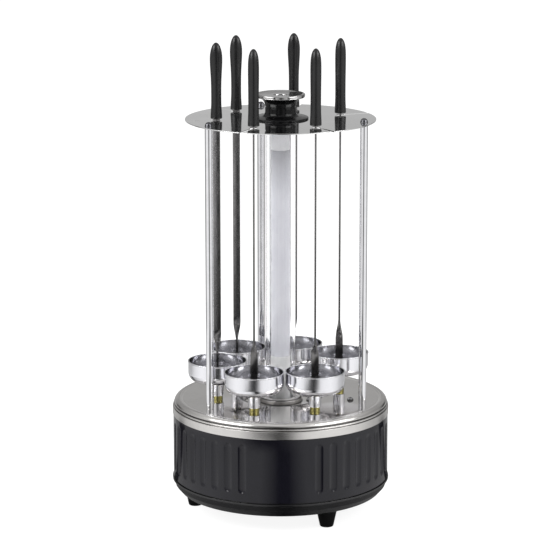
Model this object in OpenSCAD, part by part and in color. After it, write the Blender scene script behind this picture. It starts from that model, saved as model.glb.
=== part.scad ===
// Electric skewer grill: a round motor base turns six drip cups, and each cup turns a skewer
// that hangs through a slotted top plate around one upright heater. Millimetres, +Z up,
// origin on the table under the centre of the base. The front faces -Y.

/* [Base] */
// Radius over the lip of the bottom pan
pan_r = 112.5; // [110:0.5:120]
// Height of the feet
foot_h = 18; // [14:1:24]
// Height of the joint between bottom pan and drum
seam_z = 33.6; // [32:0.2:36]
// Height of the lower edge of the steel deck
skirt_z = 100.8; // [98:0.2:104]
// Height of the flat of the deck
deck_z = 117; // [115:0.5:118]
// Number of flute places round the drum
flute_places = 44; // [36:4:48]
// Flute places left plain at the front and again at the back
plain_places = 5; // [3:2:9]
// Depth of a drum flute
flute_depth = 1.4; // [0.8:0.1:2]

/* [Rotary drive] */
// Radius of the circle of cups and skewers
station_r = 66; // [66:1:66]
// Angle between neighbouring cups
station_pitch = 56; // [54:1:57]
// Angle of the first cup
station_start = 22; // [20:1:24]
// Gear module
gear_module = 1.5; // [1.5:0.5:1.5]
// Teeth of the central drive gear
drive_teeth = 66; // [66:1:66]
// Teeth of each spindle pinion
pinion_teeth = 22; // [22:1:22]
// Teeth of the motor pinion
motor_teeth = 12; // [12:1:14]
// Angle of the motor
motor_angle = 341; // [339:1:343]

/* [Drip cups] */
// Outer radius of a drip cup
cup_r = 30.75; // [26:0.25:30.75]
// Height of the underside of a cup
cup_z = 136.5; // [134:0.5:140]
// Depth of a cup over all
cup_h = 21.7; // [18:0.1:24]
// Wall of a cup
cup_wall = 0.9; // [0.6:0.1:1.2]
// Radius of the cup's stem
stem_r = 6.25; // [6:0.05:7]

/* [Frame] */
// Height of the top of the slotted plate
plate_z = 408.4; // [380:0.2:430]
// Radius of the slotted plate
plate_r = 97.25; // [94:0.25:100]
// Thickness of the slotted plate
plate_t = 1; // [0.8:0.1:1.5]
// Radius of a support post
post_r = 4; // [3.5:0.1:4.5]
// Radius of the circle of support posts
post_ring_r = 87.7; // [87:0.1:89]
// Width of the open slots that let a skewer out sideways
slot_w = 3.6; // [3:0.1:4]

/* [Skewers] */
// Height of the lower end of a handle
handle_z = 410.3; // [409:0.1:412]
// Length of a handle
handle_len = 77; // [60:1:90]
// Width of a skewer blade
blade_w = 7.6; // [6:0.1:8]
// Thickness of a skewer blade
blade_t = 2; // [1.5:0.1:2.4]
// Height where the quarter twist of a blade begins
twist_z = 165; // [160:1:170]
// Length of the quarter twist
twist_len = 27; // [20:1:40]

/* [Heater] */
// Outer radius of the clear outer tube
glass_r = 15.5; // [15:0.1:15.6]
// Outer radius of the quartz tube
quartz_r = 10; // [9.5:0.1:10]
// Height of the lower end of the quartz tube
quartz_z0 = 161; // [158:1:165]
// Height of the upper end of the quartz tube
quartz_z1 = 376.5; // [370:0.5:380]
// Number of turns of the heating coil
coil_turns = 64; // [40:1:70]
// Radius of the heating coil at the middle of its wire
coil_r = 6.4; // [5:0.1:7]
// Radius of the coil wire
wire_r = 0.6; // [0.5:0.05:0.7]

/* [Hidden] */

$fn = 64;
eps = 0.01; // how far a cutting tool runs past a face

sheet = 0.8; // steel sheet of the deck
skin = 1; // steel sheet of the drum
moulding = 1.6; // wall of the bottom pan
drum_r = pan_r - 1;
deck_r = pan_r - 0.5;
boss_r = 21.9; // raised ring of the deck round the heater
boss_h = 0.7; // height of the ring over the flat of the deck
well_r = 39.6; // sunk round field of the deck, in which the ring stands
well_depth = 4.8;
well_z = deck_z - well_depth;

stations = [for (i = [0:5]) station_start + station_pitch * i];
// direction of the wide side of each blade and handle, from +X
blade_facing = [90, 0, 0, 0, 90, 90];
post_angles = [103.5, 215, 343.5];
foot_angles = [61.8, 181.8, 301.8];
leg_angles = [40, 140, 240];
foot_ring_r = 89.2;
leg_ring_r = 91;
motor_ring_r = gear_module * (drive_teeth + motor_teeth) / 2;
motor_r = 24.5;
motor_h = 16;
motor_screw_x = 29;
shaft_r = 2;

m3_r = 1.5; // thread of the base and motor screws
thread_r = 2.5; // lower thread of a post, and the knob screw
stud_r = 2; // upper thread of a post

gear_z0 = 97; // lower face of every gear
gear_h = 8;
gear_plate_z = 90;
gear_plate_t = 2;
gear_plate_r = 95;
collar_r = 23.95; // the drive gear runs on this collar of the gear plate
spindle_r = 3;
running_gap = 0.05; // radial clearance of a running fit
part_gap = 0.3; // gap between parts that move past each other

bush_r = 5.2;
bush_h = 3.7; // brass that shows over the deck
stem_z = deck_z + bush_h + part_gap;
spindle_top_z = cup_z - 6;
hub_top_z = cup_z + 5;
blade_tip_z = hub_top_z - 8;

gland_z = 46; // cord inlet
gland_r = 5;
cord_r = 3.6;

// deck screws: the outer two hold spacers, the inner two hold the heater bracket
outer_screws = [[72, -17], [-72, 17]];
inner_screws = [[30, 0], [-30, 0]];
screw_r = 2;

glass_wall = 2;
glass_z0 = deck_z - 8;
plate_under_z = plate_z - plate_t;
socket_r = 18.5;
socket_flange_r = 19.2;
bracket_t = 2;
bracket_z = well_z - sheet - 2 * bracket_t;
ceramic_z0 = bracket_z - 12;
spigot_r = quartz_r - 1.6;
spigot_h = 5;
coil_z0 = quartz_z0 + spigot_h;
coil_z1 = quartz_z1 - spigot_h;

knob_h = 21.8;
knob_top_z = plate_z + knob_h;
knob_bore_r = thread_r + 0.1;
cap_seat = 1.2; // seat of the knob screw in the cap

function polar(r, a) = [r * cos(a), r * sin(a)];
// points of an arc about c, from angle a0 to a1
function arc(c, r, a0, a1, n = 6) = [for (i = [0:n]) c + polar(r, a0 + (a1 - a0) * i / n)];
// a point at distance d along the ring of the given radius, taken as [distance, height]
function wrap(p, r) = [r * cos(p[0] / r * 180 / PI), r * sin(p[0] / r * 180 / PI), p[1]];

// The coil's line, unrolled to [distance round the coil, height]: straight up out of the lower
// ceramic, a bend into the rising turns, and the same again at the top.
lead = 1.4; // straight end of the wire
bend = 1.6; // radius of the bend between end and turns
turn_len = 2 * PI * coil_r;
rise = (coil_z1 - coil_z0 - 2 * lead - 2 * bend) / coil_turns;
slope = atan(rise / turn_len);
rings_per_turn = 8;
steps = coil_turns * rings_per_turn;
bend_end = [bend - bend * sin(slope), bend * cos(slope)];
run = coil_turns * turn_len;
coil_line = concat(
    [[0, coil_z0], [0, coil_z0 + lead]],
    [for (a = [30, 60]) [bend - bend * cos(a), coil_z0 + lead + bend * sin(a)]],
    [for (i = [0:steps]) [bend_end[0] + run * i / steps,
        coil_z0 + lead + bend_end[1] + (coil_z1 - coil_z0 - 2 * lead - 2 * bend_end[1]) * i / steps]],
    [for (a = [60, 30]) [2 * bend_end[0] + run - (bend - bend * cos(a)),
        coil_z1 - lead - bend * sin(a)]],
    [[2 * bend_end[0] + run, coil_z1 - lead], [2 * bend_end[0] + run, coil_z1]]);

module at(r, a, z = 0, turn = 0) {
    rotate([0, 0, a]) translate([r, 0, z]) rotate([0, 0, turn]) children();
}

module tube(r_out, r_in, z0, z1) {
    translate([0, 0, z0]) difference() {
        cylinder(r = r_out, h = z1 - z0);
        translate([0, 0, -1]) cylinder(r = r_in, h = z1 - z0 + 2);
    }
}

// Base.

module bottom_pan() {
    floor_z = foot_h;
    upright_z = seam_z + 5;
    upright_r = drum_r - skin - 0.2;
    profile = concat(
        [[0, floor_z], [101, floor_z]],
        arc([101, floor_z + 5], 5, -70, -35, 3),
        [[109.6, floor_z + 7.2], [111, seam_z - 3], [pan_r, seam_z - 2.6], [pan_r, seam_z],
         [upright_r, seam_z], [upright_r, upright_z], [upright_r - moulding, upright_z],
         [upright_r - moulding, floor_z + 12], [101, floor_z + moulding], [0, floor_z + moulding]]);
    color("#17171a") difference() {
        union() {
            rotate_extrude($fn = 128) polygon(profile);
            for (a = leg_angles) at(leg_ring_r, a) tube(6, 4.6, floor_z + 1, floor_z + 8);
            for (a = foot_angles) at(foot_ring_r, a, floor_z + 1) cylinder(r = 4.2, h = 6);
            // bosses that carry the terminal block
            for (x = [-9, 9]) translate([x, 62, floor_z + 1]) cylinder(r = 3, h = 9);
        }
        for (a = leg_angles) at(leg_ring_r, a, floor_z - 1) cylinder(r = m3_r + 0.2, h = 4);
        for (a = foot_angles) at(foot_ring_r, a, floor_z - 1) cylinder(r = m3_r + 0.02, h = 10);
        // ventilation slots under the motor and the heater
        for (i = [-3:3]) translate([i * 9 - 2, -26 + abs(i) * 2, floor_z - 1])
            cube([4, 52 - abs(i) * 4, 4]);
    }
}

module feet() {
    recess_r = 3.6;
    profile = concat(
        [[0, 0], [5.2, 0]],
        arc([5.2, 1.6], 1.6, -80, -10, 3),
        [[10.4, foot_h - 1.4], [11, foot_h], [0, foot_h]]);
    color("#101012") for (a = foot_angles) at(foot_ring_r, a) difference() {
        rotate_extrude() polygon(profile);
        translate([0, 0, -1]) cylinder(r = recess_r, h = 8);
        cylinder(r = m3_r + 0.3, h = foot_h + 1);
    }
}

// pan-head screw with its head underneath, its shank going up from z = 0
module screw_up(r, length, head_r, head_h) {
    translate([0, 0, -head_h]) difference() {
        cylinder(r = head_r, h = head_h);
        translate([0, 0, -eps]) for (a = [0, 90]) rotate([0, 0, a])
            translate([-head_r * 0.6, -0.4, 0]) cube([head_r * 1.2, 0.8, head_h * 0.5]);
    }
    translate([0, 0, -eps]) cylinder(r = r, h = length);
}

module base_screws() {
    color("#8f8f92") {
        for (a = foot_angles) at(foot_ring_r, a, foot_h - 11) screw_up(m3_r, 14, 3.1, 2.2);
        for (a = leg_angles) at(leg_ring_r, a, foot_h) screw_up(m3_r, 14, 3.1, 2.2);
    }
}

// round-ended upright flute tool, standing on the drum's own radius
module flute_tool(r, z0, z1) {
    translate([0, 0, z0]) cylinder(r = r, h = z1 - z0, $fn = 32);
    for (z = [z0, z1]) translate([0, 0, z]) sphere(r = r, $fn = 32);
}

module drum_shell() {
    half_w = 4.4; // half the width of a flute at the surface
    tool_r = (half_w * half_w + flute_depth * flute_depth) / (2 * flute_depth);
    tool_ring_r = drum_r - flute_depth + tool_r;
    z0 = seam_z + 9 + half_w;
    z1 = skirt_z - 6.5 - half_w;
    neck_r = deck_r - sheet - 0.3;
    pitch = 360 / flute_places;
    side = flute_places / 2 - plain_places;
    flutes = [for (s = [0, 180], k = [0:side]) s - 90 + pitch * (plain_places / 2 + k)];
    wall = [[drum_r - skin, seam_z], [drum_r, seam_z], [drum_r, skirt_z], [neck_r, skirt_z],
        [neck_r, skirt_z + 6], [neck_r - skin, skirt_z + 6], [neck_r - skin, skirt_z - skin],
        [drum_r - skin, skirt_z - skin]];
    color("#1c1d21") difference() {
        union() {
            rotate_extrude($fn = 128) polygon(wall);
            intersection() {
                translate([0, 0, z0 - 8]) cylinder(r = drum_r - skin / 2, h = z1 - z0 + 16);
                for (a = flutes) at(tool_ring_r, a) flute_tool(tool_r + skin, z0, z1);
            }
        }
        for (a = flutes) at(tool_ring_r, a) flute_tool(tool_r, z0, z1);
        // hole of the cord gland at the back
        translate([0, drum_r - 8, gland_z]) rotate([-90, 0, 0]) cylinder(r = gland_r, h = 16);
    }
}
module cord_gland() {
    color("#101012") translate([0, 0, gland_z]) difference() {
        union() {
            translate([0, drum_r - 6, 0]) rotate([-90, 0, 0]) cylinder(r = gland_r - 0.05, h = 6.5);
            translate([0, drum_r - skin - 3, 0]) rotate([-90, 0, 0]) cylinder(r = 7, h = 2.4);
            // outer collar, inside the lip of the pan
            intersection() {
                translate([0, drum_r - 1, 0]) rotate([-90, 0, 0]) cylinder(r = 7.5, h = 3);
                tube(pan_r - 0.1, drum_r + eps, -10, 10);
            }
        }
        translate([0, drum_r - 10, 0]) rotate([-90, 0, 0]) cylinder(r = cord_r, h = 20);
    }
}

module terminal_block() {
    top_z = foot_h + 10;
    color("#e4e1d6") translate([-14, 56, top_z]) difference() {
        cube([28, 12, 14]);
        for (i = [0:2]) translate([5 + i * 9, 6, 6]) cylinder(r = 2.2, h = 9);
        for (i = [0:2]) translate([5 + i * 9, -1, 5]) rotate([-90, 0, 0]) cylinder(r = 1.6, h = 14);
    }
}

module deck_plate() {
    inner_r = deck_r - sheet;
    flat_r = 101.5; // where the flat of the deck meets its rolled rim
    crest = deck_z + 0.3;
    groove_z = skirt_z + 11.3; // bottom of the groove over the bead of the rim
    roll_r = 5.4;
    roll_c = [105.2, crest - roll_r];
    rim = concat(
        [[flat_r, deck_z], [flat_r + 0.5, deck_z - 0.3], [flat_r + 1.2, deck_z + 0.1]],
        [[104, crest - 0.2], [105.6, crest]],
        arc(roll_c, roll_r, 80, 12, 7),
        [[109.9, groove_z + 0.6], [109.6, groove_z], [109.9, groove_z - 0.5],
         [110.8, groove_z - 0.8], [111.3, groove_z - 1.2], [111.35, groove_z - 1.8],
         [111.2, groove_z - 2.4], [110.9, groove_z - 2.8], [110.9, groove_z - 3.1],
         [deck_r - 0.15, groove_z - 3.3], [deck_r, groove_z - 3.7], [deck_r, skirt_z]]);
    under = concat(
        [[inner_r, skirt_z], [inner_r, groove_z - 4.3], [109.8, groove_z - 3.7],
         [109.2, groove_z - 1.5], [108.8, groove_z - 0.5], [108.8, groove_z + 0.5]],
        arc(roll_c, roll_r - sheet, 25, 80, 6),
        [[103, crest - 1.5], [flat_r, deck_z - sheet - 0.3], [flat_r - 1, deck_z - sheet]]);
    boss_z = deck_z + boss_h;
    round_r = 2.6;
    lip_r = 1.2;
    boss = [[boss_r, well_z - sheet], [boss_r - sheet, well_z - sheet + 0.4],
        [boss_r - sheet, boss_z - round_r], [boss_r - round_r, boss_z - sheet],
        [glass_r + 0.3, boss_z - sheet], [glass_r + 0.3, boss_z]];
    boss_top = concat(arc([boss_r - round_r, boss_z - round_r], round_r, 90, 0, 6),
        [[boss_r, well_z]]);
    well = concat([[well_r - 1.4, well_z], [well_r - 0.4, well_z + 0.5]],
        arc([well_r + lip_r, deck_z - lip_r], lip_r, 180, 90, 4));
    well_under = [[well_r + 1.6, deck_z - sheet], [well_r + sheet, deck_z - sheet - 0.8],
        [well_r + sheet, well_z + 0.4], [well_r, well_z - sheet + 0.4], [well_r - 1, well_z - sheet]];
    color("#b9b6b1") difference() {
        rotate_extrude($fn = 128) polygon(concat(boss, boss_top, well, rim, under, well_under));
        for (a = stations) at(station_r, a, deck_z - 3) cylinder(r = 4.6, h = 6);
        for (a = post_angles) at(post_ring_r, a, deck_z - 3) cylinder(r = thread_r + 0.1, h = 6);
        for (p = concat(outer_screws, inner_screws))
            translate([p[0], p[1], well_z - 3]) cylinder(r = screw_r + 0.1, h = well_depth + 6);
    }
}

// dome-head screw standing on z = 0 with its shank below
module dome_screw(head_r, head_h, r, length) {
    ball = (head_r * head_r + head_h * head_h) / (2 * head_h);
    difference() {
        intersection() {
            translate([0, 0, head_h - ball]) sphere(r = ball);
            cylinder(r = head_r, h = head_h);
        }
        for (a = [0, 90]) rotate([0, 0, a]) translate([-1.7, -0.35, head_h - 1]) cube([3.4, 0.7, 2]);
    }
    translate([0, 0, -length]) cylinder(r = r, h = length + eps);
}

module deck_screws() {
    color("#77777a") {
        for (p = outer_screws) translate([p[0], p[1], deck_z]) dome_screw(3.4, 3, screw_r, 7);
        for (p = inner_screws) translate([p[0], p[1], well_z]) dome_screw(3.4, 3, screw_r, 6);
    }
}

module deck_spacers() {
    z0 = gear_plate_z + gear_plate_t;
    z1 = deck_z - sheet;
    color("#a9a9ad") {
        for (a = post_angles) at(post_ring_r, a) tube(4.5, thread_r + 0.1, z0, z1);
        // threaded pillars: a hole for the deck screw on top, a stud through the gear plate below
        for (p = outer_screws) translate([p[0], p[1], 0]) {
            difference() {
                translate([0, 0, z0]) cylinder(r = 3.2, h = z1 - z0);
                translate([0, 0, z1 - 10]) cylinder(r = screw_r + 0.05, h = 12);
            }
            translate([0, 0, z0 - 6]) cylinder(r = screw_r, h = 6 + eps);
        }
    }
}

// Rotary drive.

module gear_plate() {
    z1 = gear_plate_z + gear_plate_t;
    color("#cfcac0") difference() {
        union() {
            translate([0, 0, gear_plate_z]) cylinder(r = gear_plate_r, h = gear_plate_t);
            translate([0, 0, gear_plate_z]) cylinder(r = collar_r, h = gear_h + 6);
            for (a = stations) at(station_r, a, gear_plate_z - 4) cylinder(r = 6, h = 7.4);
            for (a = leg_angles) at(leg_ring_r, a, foot_h + moulding)
                cylinder(r = 4.5, h = gear_plate_z - foot_h - moulding + eps);
        }
        translate([0, 0, gear_plate_z - 1]) cylinder(r = collar_r - 3, h = gear_h + 8);
        for (a = stations) at(station_r, a, gear_plate_z - 5)
            cylinder(r = spindle_r + running_gap, h = 10);
        for (a = leg_angles) at(leg_ring_r, a, foot_h) cylinder(r = m3_r + 0.05, h = 16);
        for (a = post_angles) at(post_ring_r, a, gear_plate_z - 1)
            cylinder(r = thread_r + 0.1, h = 4);
        for (p = outer_screws) translate([p[0], p[1], gear_plate_z - 1])
            cylinder(r = screw_r + 0.1, h = 4);
        at(motor_ring_r, motor_angle, gear_plate_z - 1) {
            cylinder(r = 4.5, h = 4);
            for (s = [-1, 1]) rotate([0, 0, 90]) translate([s * motor_screw_x, 0, 0])
                cylinder(r = m3_r + 0.1, h = 4);
        }
        // lightening windows between the bosses
        for (i = [0:4]) at(58, stations[i] + station_pitch / 2, gear_plate_z - 1)
            cylinder(r = 11, h = 4);
    }
}

// flank points of one gear tooth: the involute of the base circle, thinned by a little play
function flank(rb, r, half, side) =
    let (roll = sqrt(max(0, r * r / (rb * rb) - 1)) * 180 / PI)
    let (inv = roll - atan(roll * PI / 180))
    polar(r, side * (half - inv));

module gear_outline(teeth) {
    pitch_r = gear_module * teeth / 2;
    base_r = pitch_r * cos(20);
    tip_r = pitch_r + gear_module * 0.92;
    root_r = pitch_r - gear_module * 1.25;
    play = 0.12 / pitch_r * 180 / PI;
    roll = tan(20) * 180 / PI;
    half = 90 / teeth - play + roll - 20; // half angle of a tooth on the base circle
    start_r = max(root_r, base_r);
    radii = [for (i = [0:3]) start_r + (tip_r - start_r) * i / 3];
    tooth = concat(
        [polar(root_r, -half)], [for (r = radii) flank(base_r, r, half, -1)],
        [for (i = [3:-1:0]) flank(base_r, radii[i], half, 1)], [polar(root_r, half)]);
    polygon([for (k = [0:teeth - 1], p = tooth)
        let (a = 360 / teeth * k) [p[0] * cos(a) - p[1] * sin(a), p[0] * sin(a) + p[1] * cos(a)]]);
}

// turn of a gear at angle a on its circle, that puts its teeth in the gaps of the drive gear
function mesh_turn(teeth, a) = a * drive_teeth / teeth + 180 - 180 / teeth;

module drive_gear() {
    rim_r = 45;
    hub_r = 29;
    color("#ded9cc") difference() {
        union() {
            translate([0, 0, gear_z0]) linear_extrude(gear_h) gear_outline(drive_teeth);
            translate([0, 0, gear_plate_z + gear_plate_t + 0.4])
                cylinder(r = hub_r, h = gear_h + 4.6);
        }
        translate([0, 0, gear_plate_z]) cylinder(r = collar_r + running_gap + 0.03, h = 30);
        // recess of the web on both faces
        tube(rim_r, hub_r, gear_z0 - 1, gear_z0 + 2);
        tube(rim_r, hub_r, gear_z0 + gear_h - 2.5, gear_z0 + gear_h + 1);
        for (i = [0:7]) at((rim_r + hub_r) / 2, 45 * i, gear_z0 - 1) cylinder(r = 5, h = 20);
    }
}

module motor_pinion() {
    color("#ded9cc") at(motor_ring_r, motor_angle, 0, mesh_turn(motor_teeth, motor_angle)) {
        difference() {
            union() {
                translate([0, 0, gear_z0]) linear_extrude(gear_h) gear_outline(motor_teeth);
                translate([0, 0, gear_plate_z + gear_plate_t + 1]) cylinder(r = 4, h = 5);
            }
            translate([0, 0, gear_plate_z]) cylinder(r = shaft_r + 0.01, h = 30);
        }
    }
}

module motor_shaft() {
    color("#c2c2c6") at(motor_ring_r, motor_angle, gear_plate_z - 4)
        cylinder(r = shaft_r, h = gear_h + 8.5);
}

module motor_body() {
    top_z = gear_plate_z;
    can_gap = 4.5; // room for the nuts over the can
    color("#b4b6b8") at(motor_ring_r, motor_angle) difference() {
        union() {
            translate([0, 0, top_z - motor_h]) cylinder(r = motor_r, h = motor_h - can_gap);
            // strap with a screw hole in each ear, flat against the gear plate
            translate([0, 0, top_z - 1]) rotate([0, 0, 90]) difference() {
                union() {
                    translate([-motor_screw_x, -4, 0]) cube([2 * motor_screw_x, 8, 1]);
                    for (s = [-1, 1]) translate([s * motor_screw_x, 0, 0]) cylinder(r = 4.3, h = 1);
                }
                for (s = [-1, 1]) translate([s * motor_screw_x, 0, -1])
                    cylinder(r = m3_r + 0.1, h = 4);
            }
            translate([0, 0, top_z - can_gap - 1]) cylinder(r = 4.2, h = can_gap + 2);
        }
        translate([0, 0, top_z - 4.3]) cylinder(r = shaft_r + running_gap, h = 8);
        translate([motor_r - 4, -5, top_z - motor_h - 1]) cube([10, 10, 8]);
    }
}

module motor_screws() {
    color("#8f8f92") at(motor_ring_r, motor_angle, gear_plate_z - 1) for (s = [-1, 1])
        rotate([0, 0, 90]) translate([s * motor_screw_x, 0, 0]) screw_up(m3_r, 5, 2.8, 1.8);
}

module deck_bushes() {
    color("#c9a24a") for (a = stations) at(station_r, a) difference() {
        union() {
            translate([0, 0, deck_z]) cylinder(r = bush_r, h = bush_h / 2 - 0.3);
            translate([0, 0, deck_z]) cylinder(r = bush_r - 0.6, h = bush_h);
            translate([0, 0, deck_z + bush_h / 2 + 0.2]) cylinder(r = bush_r, h = bush_h / 2 - 0.2);
            translate([0, 0, deck_z - 8]) cylinder(r = 4.55, h = 9);
        }
        translate([0, 0, deck_z - 9]) cylinder(r = spindle_r + running_gap, h = 20);
    }
}

module spindle(i) {
    z0 = gear_plate_z - 6;
    color("#c2c2c6") at(station_r, stations[i]) {
        translate([0, 0, z0]) cylinder(r = spindle_r, h = spindle_top_z - z0);
        translate([0, 0, z0 - 0.6]) cylinder(r = spindle_r - 0.6, h = 1);
        // spring clip under the gear plate
        tube(4.6, spindle_r - 0.5, z0 + 0.8, z0 + 1.6);
    }
}

module pinion(i) {
    color("#ded9cc") at(station_r, stations[i], 0, mesh_turn(pinion_teeth, stations[i]))
        difference() {
            union() {
                translate([0, 0, gear_z0]) linear_extrude(gear_h) gear_outline(pinion_teeth);
                translate([0, 0, gear_z0 - 3.2]) cylinder(r = 7, h = gear_h + 4.7);
            }
            translate([0, 0, gear_z0 - 4]) cylinder(r = spindle_r + 0.01, h = 20);
        }
}

module drip_cup(i) {
    round_r = 9.5;
    lip = 0.45;
    top = cup_z + cup_h;
    body_r = cup_r - lip;
    outside = concat(
        arc([body_r - round_r, cup_z + round_r], round_r, -90, 0, 8),
        [[body_r, top - 1.2], [cup_r, top - 0.7], [cup_r, top - 0.2], [cup_r - 0.3, top]]);
    inside = concat(
        [[body_r - cup_wall, top - 0.3]],
        arc([body_r - round_r, cup_z + round_r], round_r - cup_wall, 0, -90, 8));
    hub = [[stem_r, cup_z + cup_wall], [stem_r, hub_top_z - 0.6], [stem_r - 0.6, hub_top_z],
        [0, hub_top_z], [0, stem_z], [stem_r - 0.3, stem_z], [stem_r, stem_z + 0.3], [stem_r, cup_z]];
    color("#d9dade") at(station_r, stations[i]) difference() {
        rotate_extrude($fn = 96) polygon(concat(outside, inside, hub));
        translate([0, 0, stem_z - 1])
            cylinder(r = spindle_r + 0.01, h = spindle_top_z - stem_z + 1);
        // slot for the foot of the blade
        rotate([0, 0, blade_facing[i] + 90 - stations[i]])
            translate([-blade_w / 2 - part_gap, -blade_t / 2 - part_gap, blade_tip_z - part_gap])
            cube([blade_w + 2 * part_gap, blade_t + 2 * part_gap, 20]);
    }
}

// Heater.

module heater_socket() {
    color("#e6e2d8") {
        difference() {
            union() {
                translate([0, 0, bracket_z - 14]) cylinder(r = socket_r, h = 20);
                translate([0, 0, bracket_z + bracket_t])
                    cylinder(r = socket_flange_r, h = deck_z + boss_h - sheet - bracket_z - bracket_t);
            }
            translate([0, 0, bracket_z - 15]) cylinder(r = 4, h = 10);
            translate([0, 0, ceramic_z0]) cylinder(r = quartz_r + 0.1, h = 40);
            translate([0, 0, glass_z0]) cylinder(r = glass_r + 0.1, h = 20);
        }
    }
}

module heater_bracket() {
    color("#a9a9ad") difference() {
        union() {
            translate([0, 0, bracket_z]) linear_extrude(bracket_t) {
                circle(r = 25);
                for (p = inner_screws) translate(p) circle(r = 6);
                for (p = inner_screws) rotate([0, 0, atan2(p[1], p[0])])
                    translate([0, -5.4]) square([norm(p), 10.8]);
            }
            for (p = inner_screws) translate([p[0], p[1], bracket_z + 1])
                cylinder(r = 4.6, h = 2 * bracket_t - 1);
        }
        translate([0, 0, bracket_z - 1]) cylinder(r = socket_r + 0.1, h = 4);
        for (p = inner_screws) translate([p[0], p[1], bracket_z - 1])
            cylinder(r = screw_r + 0.05, h = 8);
    }
}

module lower_ceramic() {
    color("#eceae4") {
        translate([0, 0, ceramic_z0]) cylinder(r = quartz_r, h = quartz_z0 - ceramic_z0);
        translate([0, 0, quartz_z0 - eps]) cylinder(r = spigot_r, h = spigot_h + eps);
    }
}

module upper_ceramic() {
    color("#f1f0ec") difference() {
        union() {
            translate([0, 0, quartz_z1]) cylinder(r = quartz_r - 0.25, h = plate_under_z - quartz_z1);
            translate([0, 0, quartz_z1 - spigot_h]) cylinder(r = spigot_r, h = spigot_h + eps);
        }
        translate([0, 0, plate_under_z - 14]) cylinder(r = thread_r + 0.05, h = 20);
    }
}

module quartz_tube() {
    color([0.9, 0.92, 0.95, 0.5]) tube(quartz_r, spigot_r + 0.05, quartz_z0, quartz_z1);
}

module outer_glass() {
    color([0.85, 0.9, 0.95, 0.3]) tube(glass_r, glass_r - glass_wall, glass_z0, plate_under_z);
}

module heating_coil() {
    sides = 6;
    n = len(coil_line);
    path = [for (p = coil_line) wrap(p, coil_r)];
    rings = [for (i = [0:n - 1])
        let (a = path[max(i - 1, 0)], b = path[min(i + 1, n - 1)])
        let (t = (b - a) / norm(b - a))
        let (ends = i == 0 || i == n - 1)
        let (along = ends ? [0, 0, 1] : t)
        let (out = [path[i][0], path[i][1], 0] / norm([path[i][0], path[i][1]]))
        let (side = cross(along, out) / norm(cross(along, out)))
        for (k = [0:sides - 1]) path[i] + wire_r * (out * cos(60 * k) + side * sin(60 * k))];
    faces = concat(
        [[for (k = [0:sides - 1]) k]],
        [[for (k = [sides - 1:-1:0]) (n - 1) * sides + k]],
        [for (i = [0:n - 2], k = [0:sides - 1])
            let (a = i * sides + k, b = i * sides + (k + 1) % sides)
            each [[a, a + sides, b + sides], [a, b + sides, b]]]);
    color("#8d8780") polyhedron(points = rings, faces = faces);
}
// Frame and top.

module support_posts() {
    color("#c9cbd0") for (a = post_angles) at(post_ring_r, a) {
        difference() {
            translate([0, 0, deck_z]) cylinder(r = post_r, h = plate_under_z - deck_z);
            // relief turned at the foot
            tube(post_r + 1, post_r - 0.4, deck_z - 1, deck_z + 0.5);
        }
        translate([0, 0, plate_under_z - eps]) cylinder(r = stud_r, h = plate_t + 2.2);
        translate([0, 0, gear_plate_z - 5])
            cylinder(r = thread_r, h = deck_z - gear_plate_z + 5 + eps);
    }
}

module nut(r, h, hole_r) {
    difference() {
        cylinder(r = r, h = h, $fn = 6);
        translate([0, 0, -1]) cylinder(r = hole_r, h = h + 2);
    }
}

module plate_nuts() {
    color("#9b9ba0") {
        for (a = post_angles) at(post_ring_r, a, gear_plate_z - 4) nut(4.6, 4, thread_r + 0.05);
        for (p = outer_screws) translate([p[0], p[1], gear_plate_z - 3]) nut(4, 3, screw_r + 0.05);
    }
}

module dome_nuts() {
    profile = concat([[0, 0], [3.9, 0], [3.9, 0.6]], arc([0, 0.6], 3.7, 0, 90, 8));
    color("#c9cbd0") for (a = post_angles) at(post_ring_r, a, plate_z) difference() {
        rotate_extrude($fn = 48) polygon(profile);
        translate([0, 0, -1]) cylinder(r = stud_r + 0.05, h = 3.4);
    }
}

module top_plate() {
    hole_r = 5;
    color("#c4c6c9") translate([0, 0, plate_under_z]) difference() {
        cylinder(r = plate_r, h = plate_t, $fn = 128);
        for (a = stations) at(station_r, a, -1) {
            cylinder(r = hole_r, h = 4);
            translate([0, -slot_w / 2, 0]) cube([40, slot_w, 4]);
        }
        for (a = post_angles) at(post_ring_r, a, -1) cylinder(r = stud_r + 0.05, h = 4);
        translate([0, 0, -1]) cylinder(r = thread_r + 0.1, h = 4);
    }
}

module knob_body() {
    profile = concat(
        [[knob_bore_r, 0], [28.5, 0], [28.5, 0.8]],
        arc([27.6, 0.9], 0.9, 0, 80, 4),
        arc([21, 7.6], 5.2, 250, 180, 6),
        [[15.9, 8.6], [15.8, 11.6], [15.2, 12], [15.2, 12.8], [15.8, 13.2]],
        arc([24.4, 13.4], 8.4, 175, 105, 8),
        [[23, knob_h], [knob_bore_r, knob_h]]);
    color("#111113") translate([0, 0, plate_z]) rotate_extrude($fn = 96) polygon(profile);
}

module knob_cap() {
    profile = concat(
        [[knob_bore_r, 0], [24.2, 0], [25, 0.8], [25, 2.2]],
        arc([23.6, 2.6], 1.4, 0, 90, 5),
        [[22.4, 3.8], [20, 3.1], [12, 2.6], [7.4, 2.6], [6.8, 2.2], [6.5, cap_seat],
         [knob_bore_r, cap_seat]]);
    color("#b7b7b8") translate([0, 0, knob_top_z]) rotate_extrude($fn = 96) polygon(profile);
}

module knob_screw() {
    seat_z = knob_top_z + cap_seat;
    color("#8f8f92") translate([0, 0, seat_z])
        dome_screw(4.6, 1.6, thread_r, seat_z - plate_under_z + 11);
}

// Skewers.

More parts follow.
